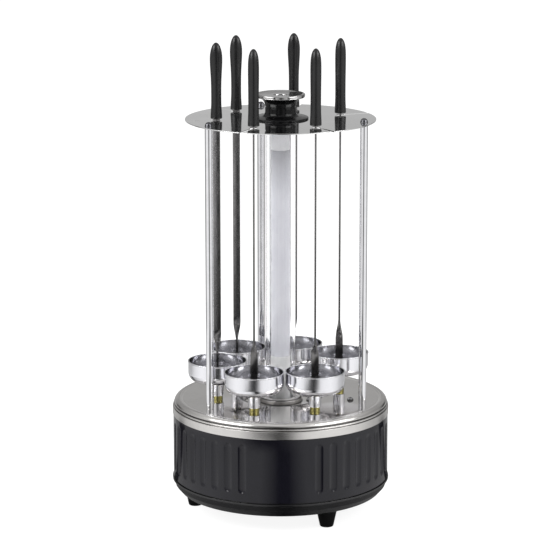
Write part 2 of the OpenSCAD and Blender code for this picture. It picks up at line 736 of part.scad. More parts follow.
module blade(i) {
    tang = 40;
    z1 = twist_z + twist_len;
    point = 4; // length of the tapered foot
    foot = [[-0.8, blade_tip_z], [0.8, blade_tip_z], [blade_w / 2, blade_tip_z + point],
        [blade_w / 2, twist_z], [-blade_w / 2, twist_z], [-blade_w / 2, blade_tip_z + point]];
    color("#9a9a9d") at(station_r, stations[i], 0, blade_facing[i] - stations[i]) {
        translate([-blade_w / 2, -blade_t / 2, z1])
            cube([blade_w, blade_t, handle_z + tang - z1]);
        // a quarter twist, and the foot across the upper part
        rotate([0, 0, 90]) {
            translate([0, 0, twist_z]) linear_extrude(twist_len, twist = 90, slices = 12, $fn = 4)
                square([blade_w, blade_t], center = true);
            translate([0, blade_t / 2, 0]) rotate([90, 0, 0]) linear_extrude(blade_t)
                polygon(foot);
        }
    }
}

// half width and half depth of a handle at t, from 0 at its lower end to 1 at its tip
function swell(t, c, w) = exp(-pow((t - c) / w, 2));
function tip(t) = t < 0.75 ? 1 : sqrt(max(0, 1 - pow((t - 0.75) / 0.25, 3)));
function half_w(t) = (5.15 + 0.75 * swell(t, 0, 0.13) + 1.2 * swell(t, 0.78, 0.22)) * tip(t);
function half_d(t) = (5.3 + 0.55 * swell(t, 0, 0.13) + 0.25 * swell(t, 0.7, 0.2)) * tip(t);

module handle(i) {
    sides = 20;
    levels = [0, 0.01, 0.1, 0.2, 0.32, 0.46, 0.58, 0.68, 0.77, 0.84, 0.9, 0.95, 0.98, 0.995];
    n = len(levels);
    points = concat(
        [for (j = [0:n - 1], k = [0:sides - 1])
            let (t = levels[j], a = 360 * k / sides, inset = j == 0 ? 0.93 : 1)
            [half_w(t) * inset * cos(a), half_d(t) * inset * sin(a), handle_z + handle_len * t]],
        [[0, 0, handle_z], [0, 0, handle_z + handle_len]]);
    faces = concat(
        [for (k = [0:sides - 1]) [n * sides, k, (k + 1) % sides]],
        [for (j = [0:n - 2], k = [0:sides - 1])
            let (a = j * sides + k, b = j * sides + (k + 1) % sides)
            each [[a, a + sides, b + sides], [a, b + sides, b]]],
        [for (k = [0:sides - 1])
            let (a = (n - 1) * sides + k, b = (n - 1) * sides + (k + 1) % sides)
            [a, n * sides + 1, b]]);
    color("#141416") at(station_r, stations[i], 0, blade_facing[i] - stations[i]) difference() {
        polyhedron(points = points, faces = faces);
        translate([-blade_w / 2 - 0.02, -blade_t / 2 - 0.02, handle_z - 1])
            cube([blade_w + 0.04, blade_t + 0.04, 41.02]);
    }
}

bottom_pan();
feet();
base_screws();
drum_shell();
deck_plate();
deck_screws();
deck_spacers();
gear_plate();
deck_bushes();
drive_gear();
motor_body();
motor_shaft();
motor_pinion();
motor_screws();
terminal_block();
cord_gland();
heater_socket();
heater_bracket();
lower_ceramic();
quartz_tube();
heating_coil();
upper_ceramic();
outer_glass();
support_posts();
plate_nuts();
dome_nuts();
top_plate();
knob_body();
knob_cap();
knob_screw();
for (i = [0:5]) {
    drip_cup(i);
    spindle(i);
    pinion(i);
    blade(i);
    handle(i);
}
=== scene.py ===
import math

import bmesh
import bpy
import numpy as np
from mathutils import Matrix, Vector


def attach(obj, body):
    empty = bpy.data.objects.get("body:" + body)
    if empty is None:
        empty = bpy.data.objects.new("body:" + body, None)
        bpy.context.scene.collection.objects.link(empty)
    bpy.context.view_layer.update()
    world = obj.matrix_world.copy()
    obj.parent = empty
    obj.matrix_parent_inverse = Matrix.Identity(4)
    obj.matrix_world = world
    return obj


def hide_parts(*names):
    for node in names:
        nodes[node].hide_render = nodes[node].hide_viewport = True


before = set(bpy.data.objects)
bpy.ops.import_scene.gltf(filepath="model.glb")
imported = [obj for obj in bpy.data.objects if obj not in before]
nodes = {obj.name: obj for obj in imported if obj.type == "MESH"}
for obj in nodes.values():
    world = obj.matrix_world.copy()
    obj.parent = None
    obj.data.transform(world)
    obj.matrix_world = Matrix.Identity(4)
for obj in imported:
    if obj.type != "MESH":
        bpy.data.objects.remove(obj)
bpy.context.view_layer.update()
mm = 0.001
print("frame loaded,", len(nodes), "nodes")

stations = [22 + 56 * i for i in range(6)]  # angle of each cup and skewer, in degrees
stationRing = 66.0
bladeFacing = [90, 0, 0, 0, 90, 90]  # turn of each skewer, in degrees
postAngles = [103.5, 215, 343.5]
postRing = 87.7
seamZ, skirtZ, deckZ, plateZ = 33.6, 100.8, 117.0, 408.4
plateUnderZ, wellZ = 407.4, 112.2
screwPlaces = [(72, -17, deckZ), (-72, 17, deckZ), (30, 0, wellZ), (-30, 0, wellZ)]


# Shapes: arrays of points in millimetres.

# A point on a circle about c: c plus r times the cosine and sine, for angles from a0 to a1.
def arc(c, r, a0, a1, steps=16):
    a = np.radians(np.linspace(a0, a1, steps + 1))
    return [(c[0] + r * math.cos(t), c[1] + r * math.sin(t)) for t in a]


# Each corner of a profile gives way to a short curve, the parabola that leaves one side and joins
# the next at the corner's own softness (third number). Two more points close to the curve's ends
# keep the flats beside it flat. Gives rows of radius, height and how near an edge the point is.
def softened(corners, closed=True, softness=0.3, steps=4):
    c = np.array([(k[0], k[1], k[2] if len(k) > 2 else softness) for k in corners], float)
    here = c[:, :2]
    back, ahead = np.roll(here, 1, 0) - here, np.roll(here, -1, 0) - here
    backLength = np.linalg.norm(back, axis=1) + 1e-9
    aheadLength = np.linalg.norm(ahead, axis=1) + 1e-9
    reach = np.minimum(c[:, 2], 0.38 * np.minimum(backLength, aheadLength))
    if not closed:
        reach[[0, -1]] = 0
    back = back / backLength[:, None] * reach[:, None]
    ahead = ahead / aheadLength[:, None] * reach[:, None]
    t = np.linspace(0, 1, steps + 1)[None, :, None]
    h, b, a = here[:, None], back[:, None], ahead[:, None]
    curve = h + (1 - t) ** 2 * b + t ** 2 * a
    rows = np.concatenate([h + b * 1.25, curve, h + a * 1.25], 1)
    edge = np.ones(rows.shape[:2])
    edge[:, [0, -1]] = 0
    flat = np.concatenate([rows.reshape(-1, 2), edge.reshape(-1, 1)], 1)
    step = np.linalg.norm(np.roll(flat[:, :2], -1, 0) - flat[:, :2], axis=1)
    keep = step > 1e-5
    if not closed:
        keep[-1] = True
    return flat[keep]


# Marks the profile's points that lie within radii r0 to r1 and heights z0 to z1: 1 is a bare
# edge, 0 a plain surface and -1 a place fully darkened with painted shade.
def mark(profile, value, r0, r1, z0, z1=math.inf):
    r, z = profile[:, 0], profile[:, 1]
    profile[(r > r0) & (r < r1) & (z > z0) & (z < z1), 2] = value


# A patch over a grid: p[i, j] is step i along and step j round, and one quad joins each point to
# its neighbours. Its UV is in millimetres: distance round, and distance along the profile.
def patch(p, edge=None, roundClosed=True, alongClosed=False):
    m, n = p.shape[:2]
    i, j = np.meshgrid(np.arange(m if alongClosed else m - 1),
                       np.arange(n if roundClosed else n - 1), indexing="ij")
    i, j = i.ravel(), j.ravel()
    rows, cols = np.stack([i, i, i + 1, i + 1], 1), np.stack([j, j + 1, j + 1, j], 1)
    stepAlong = np.linalg.norm(np.diff(p, axis=0, append=p[:1]), axis=2).mean(1)
    stepRound = np.linalg.norm(np.diff(p, axis=1, append=p[:, :1]), axis=2).max(0)
    v = np.concatenate([[0], np.cumsum(stepAlong)])
    u = np.concatenate([[0], np.cumsum(stepRound)])
    return {
        "points": p.reshape(-1, 3),
        "faces": (rows % m) * n + cols % n,
        "uv": np.stack([u[cols], v[rows]], 2),
        "edge": np.zeros(m * n) if edge is None else np.repeat(edge, n),
    }


# A profile of (radius, height) turned about an upright axis through centre: point (i, j) is
# radius i at angle j. It is run so that the surface faces outwards; radius 0 makes a pole.
def turned(profile, sides=96, closed=True, centre=(0, 0)):
    q = np.array(profile, float)
    if q.shape[1] == 2:
        q = np.pad(q, ((0, 0), (0, 1)))
    r, z = q[:, 0], q[:, 1]
    if (r * np.roll(z, -1) - np.roll(r, -1) * z).sum() < 0:
        q = q[::-1]
    a = np.linspace(0, 2 * np.pi, sides, endpoint=False)
    p = np.stack([centre[0] + q[:, :1] * np.cos(a), centre[1] + q[:, :1] * np.sin(a),
                  np.repeat(q[:, 1:2], sides, 1)], 2)
    return patch(p, q[:, 2], True, closed)


# A closed outline in the XY plane raised from z0 to z1, with flat ends run in to its middle.
def raised(outline, z0, z1):
    o = np.array(outline, float)
    mid = o.mean(0)
    rings = [(mid + (o - mid) * s, z) for s, z in ((0, z0), (1, z0), (1, z1), (0, z1))]
    p = np.stack([np.concatenate([xy, np.full((len(o), 1), z)], 1) for xy, z in rings])
    return patch(p)


# Half width a, half depth b and corner radius r: a rectangle outline with round corners.
def roundedBox(a, b, r, steps=5):
    corners = [(a - r, b - r, 0), (r - a, b - r, 90), (r - a, r - b, 180), (a - r, r - b, 270)]
    return np.array([q for x, y, t in corners for q in arc((x, y), r, t, t + 90, steps)])


def moved(shape, x=0.0, y=0.0, z=0.0, turn=0.0):
    t = math.radians(turn)
    spin = np.array([[math.cos(t), -math.sin(t), 0], [math.sin(t), math.cos(t), 0], [0, 0, 1]])
    return {**shape, "points": shape["points"] @ spin.T + np.array([x, y, z])}


def onRing(r, angle):
    return r * math.cos(math.radians(angle)), r * math.sin(math.radians(angle))


# Meshes and pieces.

def meshOf(name, shapes):
    mesh = bpy.data.meshes.new(name)
    first = np.cumsum([0] + [len(s["points"]) for s in shapes])
    points = np.concatenate([s["points"] for s in shapes]) * mm
    faces = np.concatenate([s["faces"] + k for s, k in zip(shapes, first)])
    mesh.vertices.add(len(points))
    mesh.vertices.foreach_set("co", points.ravel())
    mesh.loops.add(faces.size)
    mesh.loops.foreach_set("vertex_index", faces.ravel())
    mesh.polygons.add(len(faces))
    mesh.polygons.foreach_set("loop_start", np.arange(len(faces)) * 4)
    mesh.update(calc_edges=True)
    uv = mesh.uv_layers.new(name="surface")
    uv.data.foreach_set("uv", np.concatenate([s["uv"] for s in shapes]).ravel())
    edge = mesh.attributes.new("edge", "FLOAT", "POINT")
    edge.data.foreach_set("value", np.concatenate([s["edge"] for s in shapes]))
    mergeDoubles(mesh)
    return mesh


def addObject(name, data):
    obj = bpy.data.objects.new(name, data)
    bpy.context.collection.objects.link(obj)
    return obj


def mergeDoubles(mesh, distance=1e-7):
    b = bmesh.new()
    b.from_mesh(mesh)
    bmesh.ops.remove_doubles(b, verts=b.verts, dist=distance)
    b.to_mesh(mesh)
    b.free()


def smooth(mesh, angle):
    mesh.polygons.foreach_set("use_smooth", np.ones(len(mesh.polygons), bool))
    mesh.set_sharp_from_angle(angle=math.radians(angle))
    mesh.update()


# Cuts the shapes out of obj and keeps the result as plain mesh.
def carve(obj, shapes):
    tool = addObject("carvingTool", meshOf("carvingTool", shapes))
    modifier = obj.modifiers.new("carve", "BOOLEAN")
    modifier.operation, modifier.object, modifier.solver = "DIFFERENCE", tool, "MANIFOLD"
    bpy.context.view_layer.update()
    before = len(obj.data.polygons)
    made = bpy.data.meshes.new_from_object(
        obj.evaluated_get(bpy.context.evaluated_depsgraph_get()))
    obj.modifiers.clear()
    if len(made.polygons) < before / 4:
        raise RuntimeError("carving " + obj.name + " failed")
    obj.data = made
    bpy.data.meshes.remove(tool.data)


# Makes an object that moves with the body and stands for the CAD node. Each of the cuts is a
# list of shapes that are carved out together.
def piece(name, shapes, node, look, cuts=(), sharp=40, body="base", mesh=None):
    obj = addObject(name, mesh or meshOf(name, shapes))
    for shapes in cuts:
        carve(obj, shapes)
    smooth(obj.data, sharp)
    obj.data.materials.clear()
    obj.data.materials.append(look)
    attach(obj, body)
    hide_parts(node)


# Node helpers.

def addNode(tree, kind, values=None, **settings):
    made = tree.nodes.new("ShaderNode" + kind)
    for key, value in settings.items():
        setattr(made, key, value)
    for key, value in (values or {}).items():
        if isinstance(value, bpy.types.NodeSocket):
            tree.links.new(value, made.inputs[key])
        else:
            made.inputs[key].default_value = value
    return made


# A group with a vector input, number inputs with their usual values, and number outputs.
def newGroup(name, inputs, *outputs):
    tree = bpy.data.node_groups.new(name, "ShaderNodeTree")
    tree.interface.new_socket("Vector", in_out="INPUT", socket_type="NodeSocketVector")
    for label, value in inputs.items():
        socket = tree.interface.new_socket(label, in_out="INPUT", socket_type="NodeSocketFloat")
        socket.default_value = value
    for label in outputs:
        tree.interface.new_socket(label, in_out="OUTPUT", socket_type="NodeSocketFloat")
    start, end = tree.nodes.new("NodeGroupInput"), tree.nodes.new("NodeGroupOutput")
    return tree, start.outputs, end.inputs


def useGroup(tree, group, values):
    return addNode(tree, "Group", values, node_tree=group)


def noise(tree, vector, scale, detail, roughness=0.5):
    return addNode(tree, "TexNoise", {"Vector": vector, "Scale": scale, "Detail": detail,
                                      "Roughness": roughness}).outputs[0]


def mathNode(tree, operation, a, b=0.0, clamp=False):
    return addNode(tree, "Math", {0: a, 1: b}, operation=operation, use_clamp=clamp).outputs[0]


def times(tree, a, b, clamp=False):
    return mathNode(tree, "MULTIPLY", a, b, clamp)


def mapRange(tree, value, low, high, toLow=0.0, toHigh=1.0):
    return addNode(tree, "MapRange", {
        "Value": value, "From Min": low, "From Max": high, "To Min": toLow, "To Max": toHigh},
        interpolation_type="SMOOTHSTEP").outputs[0]


def mixColour(tree, factor, a, b):
    made = addNode(tree, "Mix", data_type="RGBA")
    for socket, value in ((made.inputs[0], factor), (made.inputs[6], a), (made.inputs[7], b)):
        if isinstance(value, bpy.types.NodeSocket):
            tree.links.new(value, socket)
        else:
            socket.default_value = value
    return made.outputs[2]


# Effects shared by the finishes.

# Handling marks: broad and fine cloudy noise, added and mapped between two roughnesses.
def makeSmudges():
    values = {"Scale": 40.0, "Low": 0.1, "High": 0.3}
    tree, start, end = newGroup("smudges", values, "Value", "Mask")
    broad = noise(tree, start["Vector"], start["Scale"], 3.0)
    fine = noise(tree, start["Vector"], times(tree, start["Scale"], 7.0), 4.0, 0.65)
    both = mathNode(tree, "ADD", times(tree, broad, 0.65), times(tree, fine, 0.35))
    mask = mapRange(tree, both, 0.38, 0.64)
    span = mathNode(tree, "SUBTRACT", start["High"], start["Low"])
    value = mathNode(tree, "ADD", times(tree, mask, span), start["Low"])
    tree.links.new(value, end["Value"])
    tree.links.new(mask, end["Mask"])
    return tree


# Turning or drawing lines: noise stretched along the first UV direction, so that it makes lines
# a fraction of a millimetre apart across the second.
def makeGrain():
    tree, start, end = newGroup("turningLines", {"Along": 0.01, "Across": 4.0}, "Height")
    stretch = addNode(tree, "CombineXYZ", {
        "X": start["Along"], "Y": start["Across"], "Z": 1.0})
    placed = addNode(tree, "VectorMath", {0: start["Vector"], 1: stretch.outputs[0]},
                     operation="MULTIPLY")
    tree.links.new(noise(tree, placed.outputs[0], 1.0, 5.0, 0.7), end["Height"])
    return tree


# Moulded skin: a fine pebble pattern from cells, softened by noise.
def makeSkin():
    tree, start, end = newGroup("mouldedSkin", {"Scale": 1500.0}, "Height")
    cells = addNode(tree, "TexVoronoi", {"Vector": start["Vector"], "Scale": start["Scale"]},
                    feature="SMOOTH_F1")
    cloud = noise(tree, start["Vector"], times(tree, start["Scale"], 0.35), 2.0)
    both = mathNode(tree, "ADD", times(tree, cells.outputs[0], 0.5), times(tree, cloud, 0.5))
    tree.links.new(both, end["Height"])
    return tree


# Worn edges: the mesh's own edge value, broken up by noise.
def makeWear():
    tree, start, end = newGroup("edgeWear", {"Edge": 0.0, "Amount": 0.5}, "Mask")
    torn = mapRange(tree, noise(tree, start["Vector"], 160.0, 5.0, 0.7), 0.42, 0.62, 0.15)
    onEdge = times(tree, times(tree, start["Edge"], torn), start["Amount"], clamp=True)
    tree.links.new(onEdge, end["Mask"])
    return tree


# Dust: what faces up catches it, in soft patches with small specks.
def makeDust():
    tree, start, end = newGroup("dust", {"Amount": 0.1}, "Mask")
    up = addNode(tree, "SeparateXYZ", {0: addNode(tree, "NewGeometry").outputs["Normal"]})
    facing = mapRange(tree, up.outputs["Z"], 0.25, 1.0)
    cloud = noise(tree, start["Vector"], 55.0, 4.0, 0.6)
    specks = noise(tree, start["Vector"], 1900.0, 1.0)
    patchy = times(tree, mapRange(tree, cloud, 0.35, 0.75, 0.2),
                   mapRange(tree, specks, 0.5, 0.72, 0.25))
    mask = times(tree, times(tree, facing, patchy), start["Amount"])
    tree.links.new(mask, end["Mask"])
    return tree


smudges, grain, skin, wear, dust = makeSmudges(), makeGrain(), makeSkin(), makeWear(), makeDust()
# The dust colour, and the near-black that paints shade where the edge value is below zero.
dustColour, paintedShadeColour = (0.42, 0.40, 0.37, 1), (0.02, 0.018, 0.016, 1)


# One finish: colour with a second shade in the smudged places, roughness between two values,
# how fine the smudges are, a relief of turning lines or moulded skin, worn edges (how much, and
# the bare colour), a near-black painted where the edge value is below zero (painted shade in
# grooves and hollows, and the blades' darkening towards the foot) and a little dust. A band makes
# the metal duller: between two distances from the axis, in metres, the roughness added goes from
# one number to another.
def finish(name, colour, second, rough, patches, metallic=0.0, lines=None, pebble=None,
           worn=None, paintedShade=0.0, dusty=0.0, bands=(), passesShadow=False, **sockets):
    look = bpy.data.materials.new(name)
    look.use_nodes = True
    tree = look.node_tree
    shader = tree.nodes["Principled BSDF"]
    shader.inputs["Metallic"].default_value = metallic
    for key, value in sockets.items():
        shader.inputs[key.replace("_", " ")].default_value = value
    spot = addNode(tree, "TexCoord")
    place = spot.outputs["Object"]
    marks = useGroup(tree, smudges, {
        "Vector": place, "Scale": patches, "Low": rough[0], "High": rough[1]})
    matt = marks.outputs["Value"]
    if bands:
        flat = addNode(tree, "VectorMath", {0: place, 1: (1, 1, 0)}, operation="MULTIPLY")
        away = addNode(tree, "VectorMath", {0: flat.outputs[0]}, operation="LENGTH")
    for band in bands:
        matt = mathNode(tree, "ADD", matt, mapRange(tree, away.outputs["Value"], *band))
    tree.links.new(matt, shader.inputs["Roughness"])
    shade = mixColour(tree, marks.outputs["Mask"], (*colour, 1), (*second, 1))
    if worn:
        edge = addNode(tree, "Attribute", attribute_name="edge")
        bare = useGroup(tree, wear, {
            "Vector": place, "Edge": edge.outputs["Fac"], "Amount": worn[0]})
        shade = mixColour(tree, bare.outputs["Mask"], shade, (*worn[1:], 1))
        if paintedShade:
            # Painted shade: below zero the edge value mixes the colour towards near-black.
            shadeMask = times(tree, edge.outputs["Fac"], -paintedShade, clamp=True)
            shade = mixColour(tree, shadeMask, shade, paintedShadeColour)
    if dusty:
        film = useGroup(tree, dust, {"Vector": place, "Amount": dusty})
        shade = mixColour(tree, film.outputs["Mask"], shade, dustColour)
    tree.links.new(shade, shader.inputs["Base Color"])
    if lines:
        relief = useGroup(tree, grain, {
            "Vector": spot.outputs["UV"], "Along": lines[0], "Across": lines[1]})
    elif pebble:
        relief = useGroup(tree, skin, {"Vector": place, "Scale": pebble[0]})
    if lines or pebble:
        strength, depth = (lines or pebble)[-2:]
        bump = addNode(tree, "Bump", {
            "Strength": strength, "Distance": depth, "Height": relief.outputs[0]})
        tree.links.new(bump.outputs[0], shader.inputs["Normal"])
    if passesShadow:
        lit = addNode(tree, "MixShader", {
            0: addNode(tree, "LightPath").outputs["Is Shadow Ray"], 1: shader.outputs[0],
            2: addNode(tree, "BsdfTransparent").outputs[0]})
        tree.links.new(lit.outputs[0], tree.nodes["Material Output"].inputs["Surface"])
    return look


print("shared effects made")

blackMoulding = finish(
    "blackMoulding", (0.006, 0.006, 0.007), (0.008, 0.008, 0.009), (0.13, 0.21), 30,
    pebble=(900.0, 0.08, 0.0002), worn=(0.25, 0.04, 0.04, 0.042), dusty=0.03,
    Specular_IOR_Level=0.58)
footRubber = finish(
    "footRubber", (0.003, 0.003, 0.0035), (0.005, 0.005, 0.005), (0.45, 0.6), 90,
    pebble=(1400.0, 0.3, 0.0002), worn=(0.3, 0.03, 0.03, 0.03), dusty=0.02,
    Specular_IOR_Level=0.15)
blackEnamel = finish(
    "blackEnamel", (0.0064, 0.0062, 0.0098), (0.0078, 0.0076, 0.0120), (0.05, 0.09), 22,
    pebble=(260.0, 0.05, 0.0003), worn=(0.1, 0.05, 0.05, 0.055), dusty=0.03,
    Specular_IOR_Level=0.40)
deckSteel = finish(
    "deckSteel", (0.89, 0.87, 0.85), (0.84, 0.82, 0.80), (0.05, 0.10), 26, metallic=1.0,
    lines=(0.004, 3.0, 0.05, 0.0001), worn=(0.2, 0.82, 0.81, 0.80), dusty=0.02, paintedShade=0.85,
    bands=((0.1025, 0.1040, 0.0, 0.13), (0.0222, 0.0228, 0.28, 0.0)))
plateSteel = finish(
    "plateSteel", (0.96, 0.96, 0.96), (0.92, 0.92, 0.915), (0.04, 0.09), 24, metallic=1.0,
    worn=(0.2, 0.82, 0.81, 0.80), dusty=0.02)
cupAluminium = finish(
    "cupAluminium", (0.90, 0.90, 0.935), (0.88, 0.88, 0.915), (0.11, 0.16), 30, metallic=1.0,
    worn=(0.2, 0.94, 0.94, 0.96), dusty=0.04, paintedShade=0.8)
postChrome = finish(
    "postChrome", (0.88, 0.88, 0.90), (0.82, 0.82, 0.84), (0.04, 0.08), 70, metallic=1.0,
    lines=(0.02, 2.0, 0.04, 0.0001))
# The dome nuts' chrome has a dark colour: painted shade standing in for the dark reflections they
# show.
nutChromeWithPaintedShade = finish(
    "nutChromeWithPaintedShade", (0.17, 0.17, 0.18), (0.10, 0.10, 0.11), (0.10, 0.20), 300, metallic=1.0,
    worn=(0.3, 0.6, 0.6, 0.61))
screwSteel = finish(
    "screwSteel", (0.52, 0.52, 0.525), (0.30, 0.30, 0.305), (0.06, 0.13), 300, metallic=1.0,
    worn=(0.5, 0.75, 0.75, 0.75), paintedShade=1.0)
zincSteel = finish(
    "zincSteel", (0.60, 0.61, 0.62), (0.48, 0.50, 0.52), (0.30, 0.45), 120, metallic=1.0)
chassisSteel = finish(
    "chassisSteel", (0.62, 0.60, 0.56), (0.55, 0.53, 0.50), (0.35, 0.5), 35, metallic=1.0)
brass = finish(
    "brass", (0.48, 0.44, 0.18), (0.36, 0.32, 0.11), (0.08, 0.15), 240, metallic=1.0,
    lines=(0.05, 6.0, 0.12, 0.0001), worn=(0.3, 0.74, 0.71, 0.44))
bladeSteel = finish(
    "bladeSteel", (0.54, 0.53, 0.53), (0.42, 0.41, 0.41), (0.18, 0.28), 50, metallic=1.0,
    lines=(2.0, 0.02, 0.03, 0.00005), worn=(0.3, 0.60, 0.59, 0.58), paintedShade=1.0)
spindleSteel = finish(
    "spindleSteel", (0.58, 0.58, 0.59), (0.50, 0.50, 0.51), (0.2, 0.3), 200, metallic=1.0)
handleBlack = finish(
    "handleBlack", (0.006, 0.006, 0.0065), (0.009, 0.009, 0.0095), (0.26, 0.34), 70,
    pebble=(1300.0, 0.16, 0.0002), worn=(0.1, 0.05, 0.05, 0.05), dusty=0.03)
knobBlack = finish(
    "knobBlack", (0.004, 0.004, 0.0045), (0.006, 0.006, 0.0065), (0.12, 0.20), 60,
    pebble=(500.0, 0.05, 0.0002), worn=(0.1, 0.05, 0.05, 0.05), Specular_IOR_Level=0.22)
knobChrome = finish(
    "knobChrome", (0.55, 0.545, 0.545), (0.47, 0.465, 0.465), (0.14, 0.24), 70, metallic=1.0,
    lines=(0.005, 4.0, 0.12, 0.0001), worn=(0.3, 0.80, 0.79, 0.78))
nylon = finish(
    "nylon", (0.74, 0.72, 0.65), (0.70, 0.67, 0.60), (0.38, 0.5), 70,
    pebble=(1200.0, 0.15, 0.0002))
steatite = finish(
    "steatite", (0.93, 0.93, 0.955), (0.87, 0.87, 0.89), (0.34, 0.48), 130,
    pebble=(1600.0, 0.2, 0.0002))
coilWire = finish(
    "coilWire", (0.36, 0.34, 0.32), (0.27, 0.25, 0.23), (0.35, 0.5), 300, metallic=1.0)
lowerCeramic = finish(
    "lowerCeramic", (0.68, 0.68, 0.68), (0.62, 0.62, 0.62), (0.3, 0.42), 110,
    pebble=(1500.0, 0.2, 0.0002))
clearGlass = finish(
    "clearGlass", (0.985, 0.985, 0.99), (0.97, 0.975, 0.98), (0.0, 0.02), 35, passesShadow=True,
    Transmission_Weight=1.0, IOR=1.3)
milkyQuartz = finish(
    "milkyQuartz", (0.79, 0.79, 0.83), (0.74, 0.74, 0.785), (0.14, 0.22), 60, passesShadow=True,
    Transmission_Weight=0.5, IOR=1.4)
print("finishes made")

# Base.

pan = {"flat": 101, "height": 18, "wall": 1.6, "lip": 112.5, "tongue": (108.7, 110.3, 5),
       "slot": 4, "slotLength": 52, "slotPitch": 9, "legs": (40, 140, 240), "legRing": 91,
       "legHole": 1.7, "gap": 0.45}


def bottomPan():
    z, w, f, r, q = (pan[k] for k in ("height", "wall", "flat", "lip", "legHole"))
    outer = [(0, z), (f - 3, z)] + arc((f, z + 5), 5, -90, -35, 10)
    outer += [(r - 2.9, z + 7.2), (r - 1.5, seamZ - 3, 1)]
    top, (a, b, h) = seamZ - pan["gap"], pan["tongue"]
    rim = [(r, seamZ - 2.6, 0.5), (r, top, 0.4), (b, top), (b, seamZ + h), (a, seamZ + h)]
    inner = [(a, z + 12, 3), (f, z + w, 3), (0, z + w)]
    profile = softened(outer + rim + inner, closed=False, softness=0.5)
    slots = [moved(raised(roundedBox(pan["slot"] / 2, pan["slotLength"] / 2 - abs(i) * 2, 1.98),
                          z - 2, z + 3), x=i * pan["slotPitch"]) for i in range(-3, 4)]
    holes = [moved(raised(roundedBox(q, q, q - 0.01), z - 2, z + 3), *onRing(pan["legRing"], a))
             for a in pan["legs"]]
    piece("bottomPan", [turned(profile, 192, closed=False)], "bottom_pan",
          blackMoulding, [slots + holes])


foot = {"ring": 89.2, "angles": (61.8, 181.8, 301.8), "toe": 6.8, "top": 11, "height": 18,
        "recess": 3.6, "recessTop": 7, "screwHole": 1.8}


def feet():
    h, r, q, s = (foot[k] for k in ("height", "top", "recess", "screwHole"))
    profile = softened(
        [(q, 0, 0.3), (foot["toe"], 0, 1.5), (r - 0.6, h - 1.4, 0.8), (r, h, 0.2), (s, h, 0),
         (s, foot["recessTop"], 0), (q, foot["recessTop"], 0.2)])
    shapes = [turned(profile, 64, centre=onRing(foot["ring"], a)) for a in foot["angles"]]
    piece("feet", shapes, "feet", footRubber)


drum = {"radius": 111.5, "sheet": 1.0, "neck": 110.9, "places": 44, "depth": 1.4, "tool": 7.61,
        "low": 47.0, "high": 89.9, "foot": seamZ + 0.5, "plain": (0, 1, 20, 21), "clear": 99.0,
        "gland": 46, "glandHole": 5, "glandCut": (104, 118)}


# Drum wall: radius less the depth of the flute nearest to each angle. A flute is the round groove
# that a ball-ended tool of radius r leaves: depth = root(r^2 - x^2 - e^2) - offset, where x is the
# distance across the flute and e the distance past its straight part, with a soft edge. In a
# plain place x is set far off, so that nothing is cut.
def fluteDepth(x, z, r, offset, soft=0.22):
    past = np.maximum(0, np.maximum(drum["low"] - z, z - drum["high"]))
    raw = np.sqrt(np.maximum(0, r * r - x * x - past * past)) - offset
    eased = 0.5 * (raw + np.sqrt(raw * raw + soft * soft))
    rest = 0.5 * (-offset + math.sqrt(offset * offset + soft * soft))
    return np.maximum(0, eased - rest)


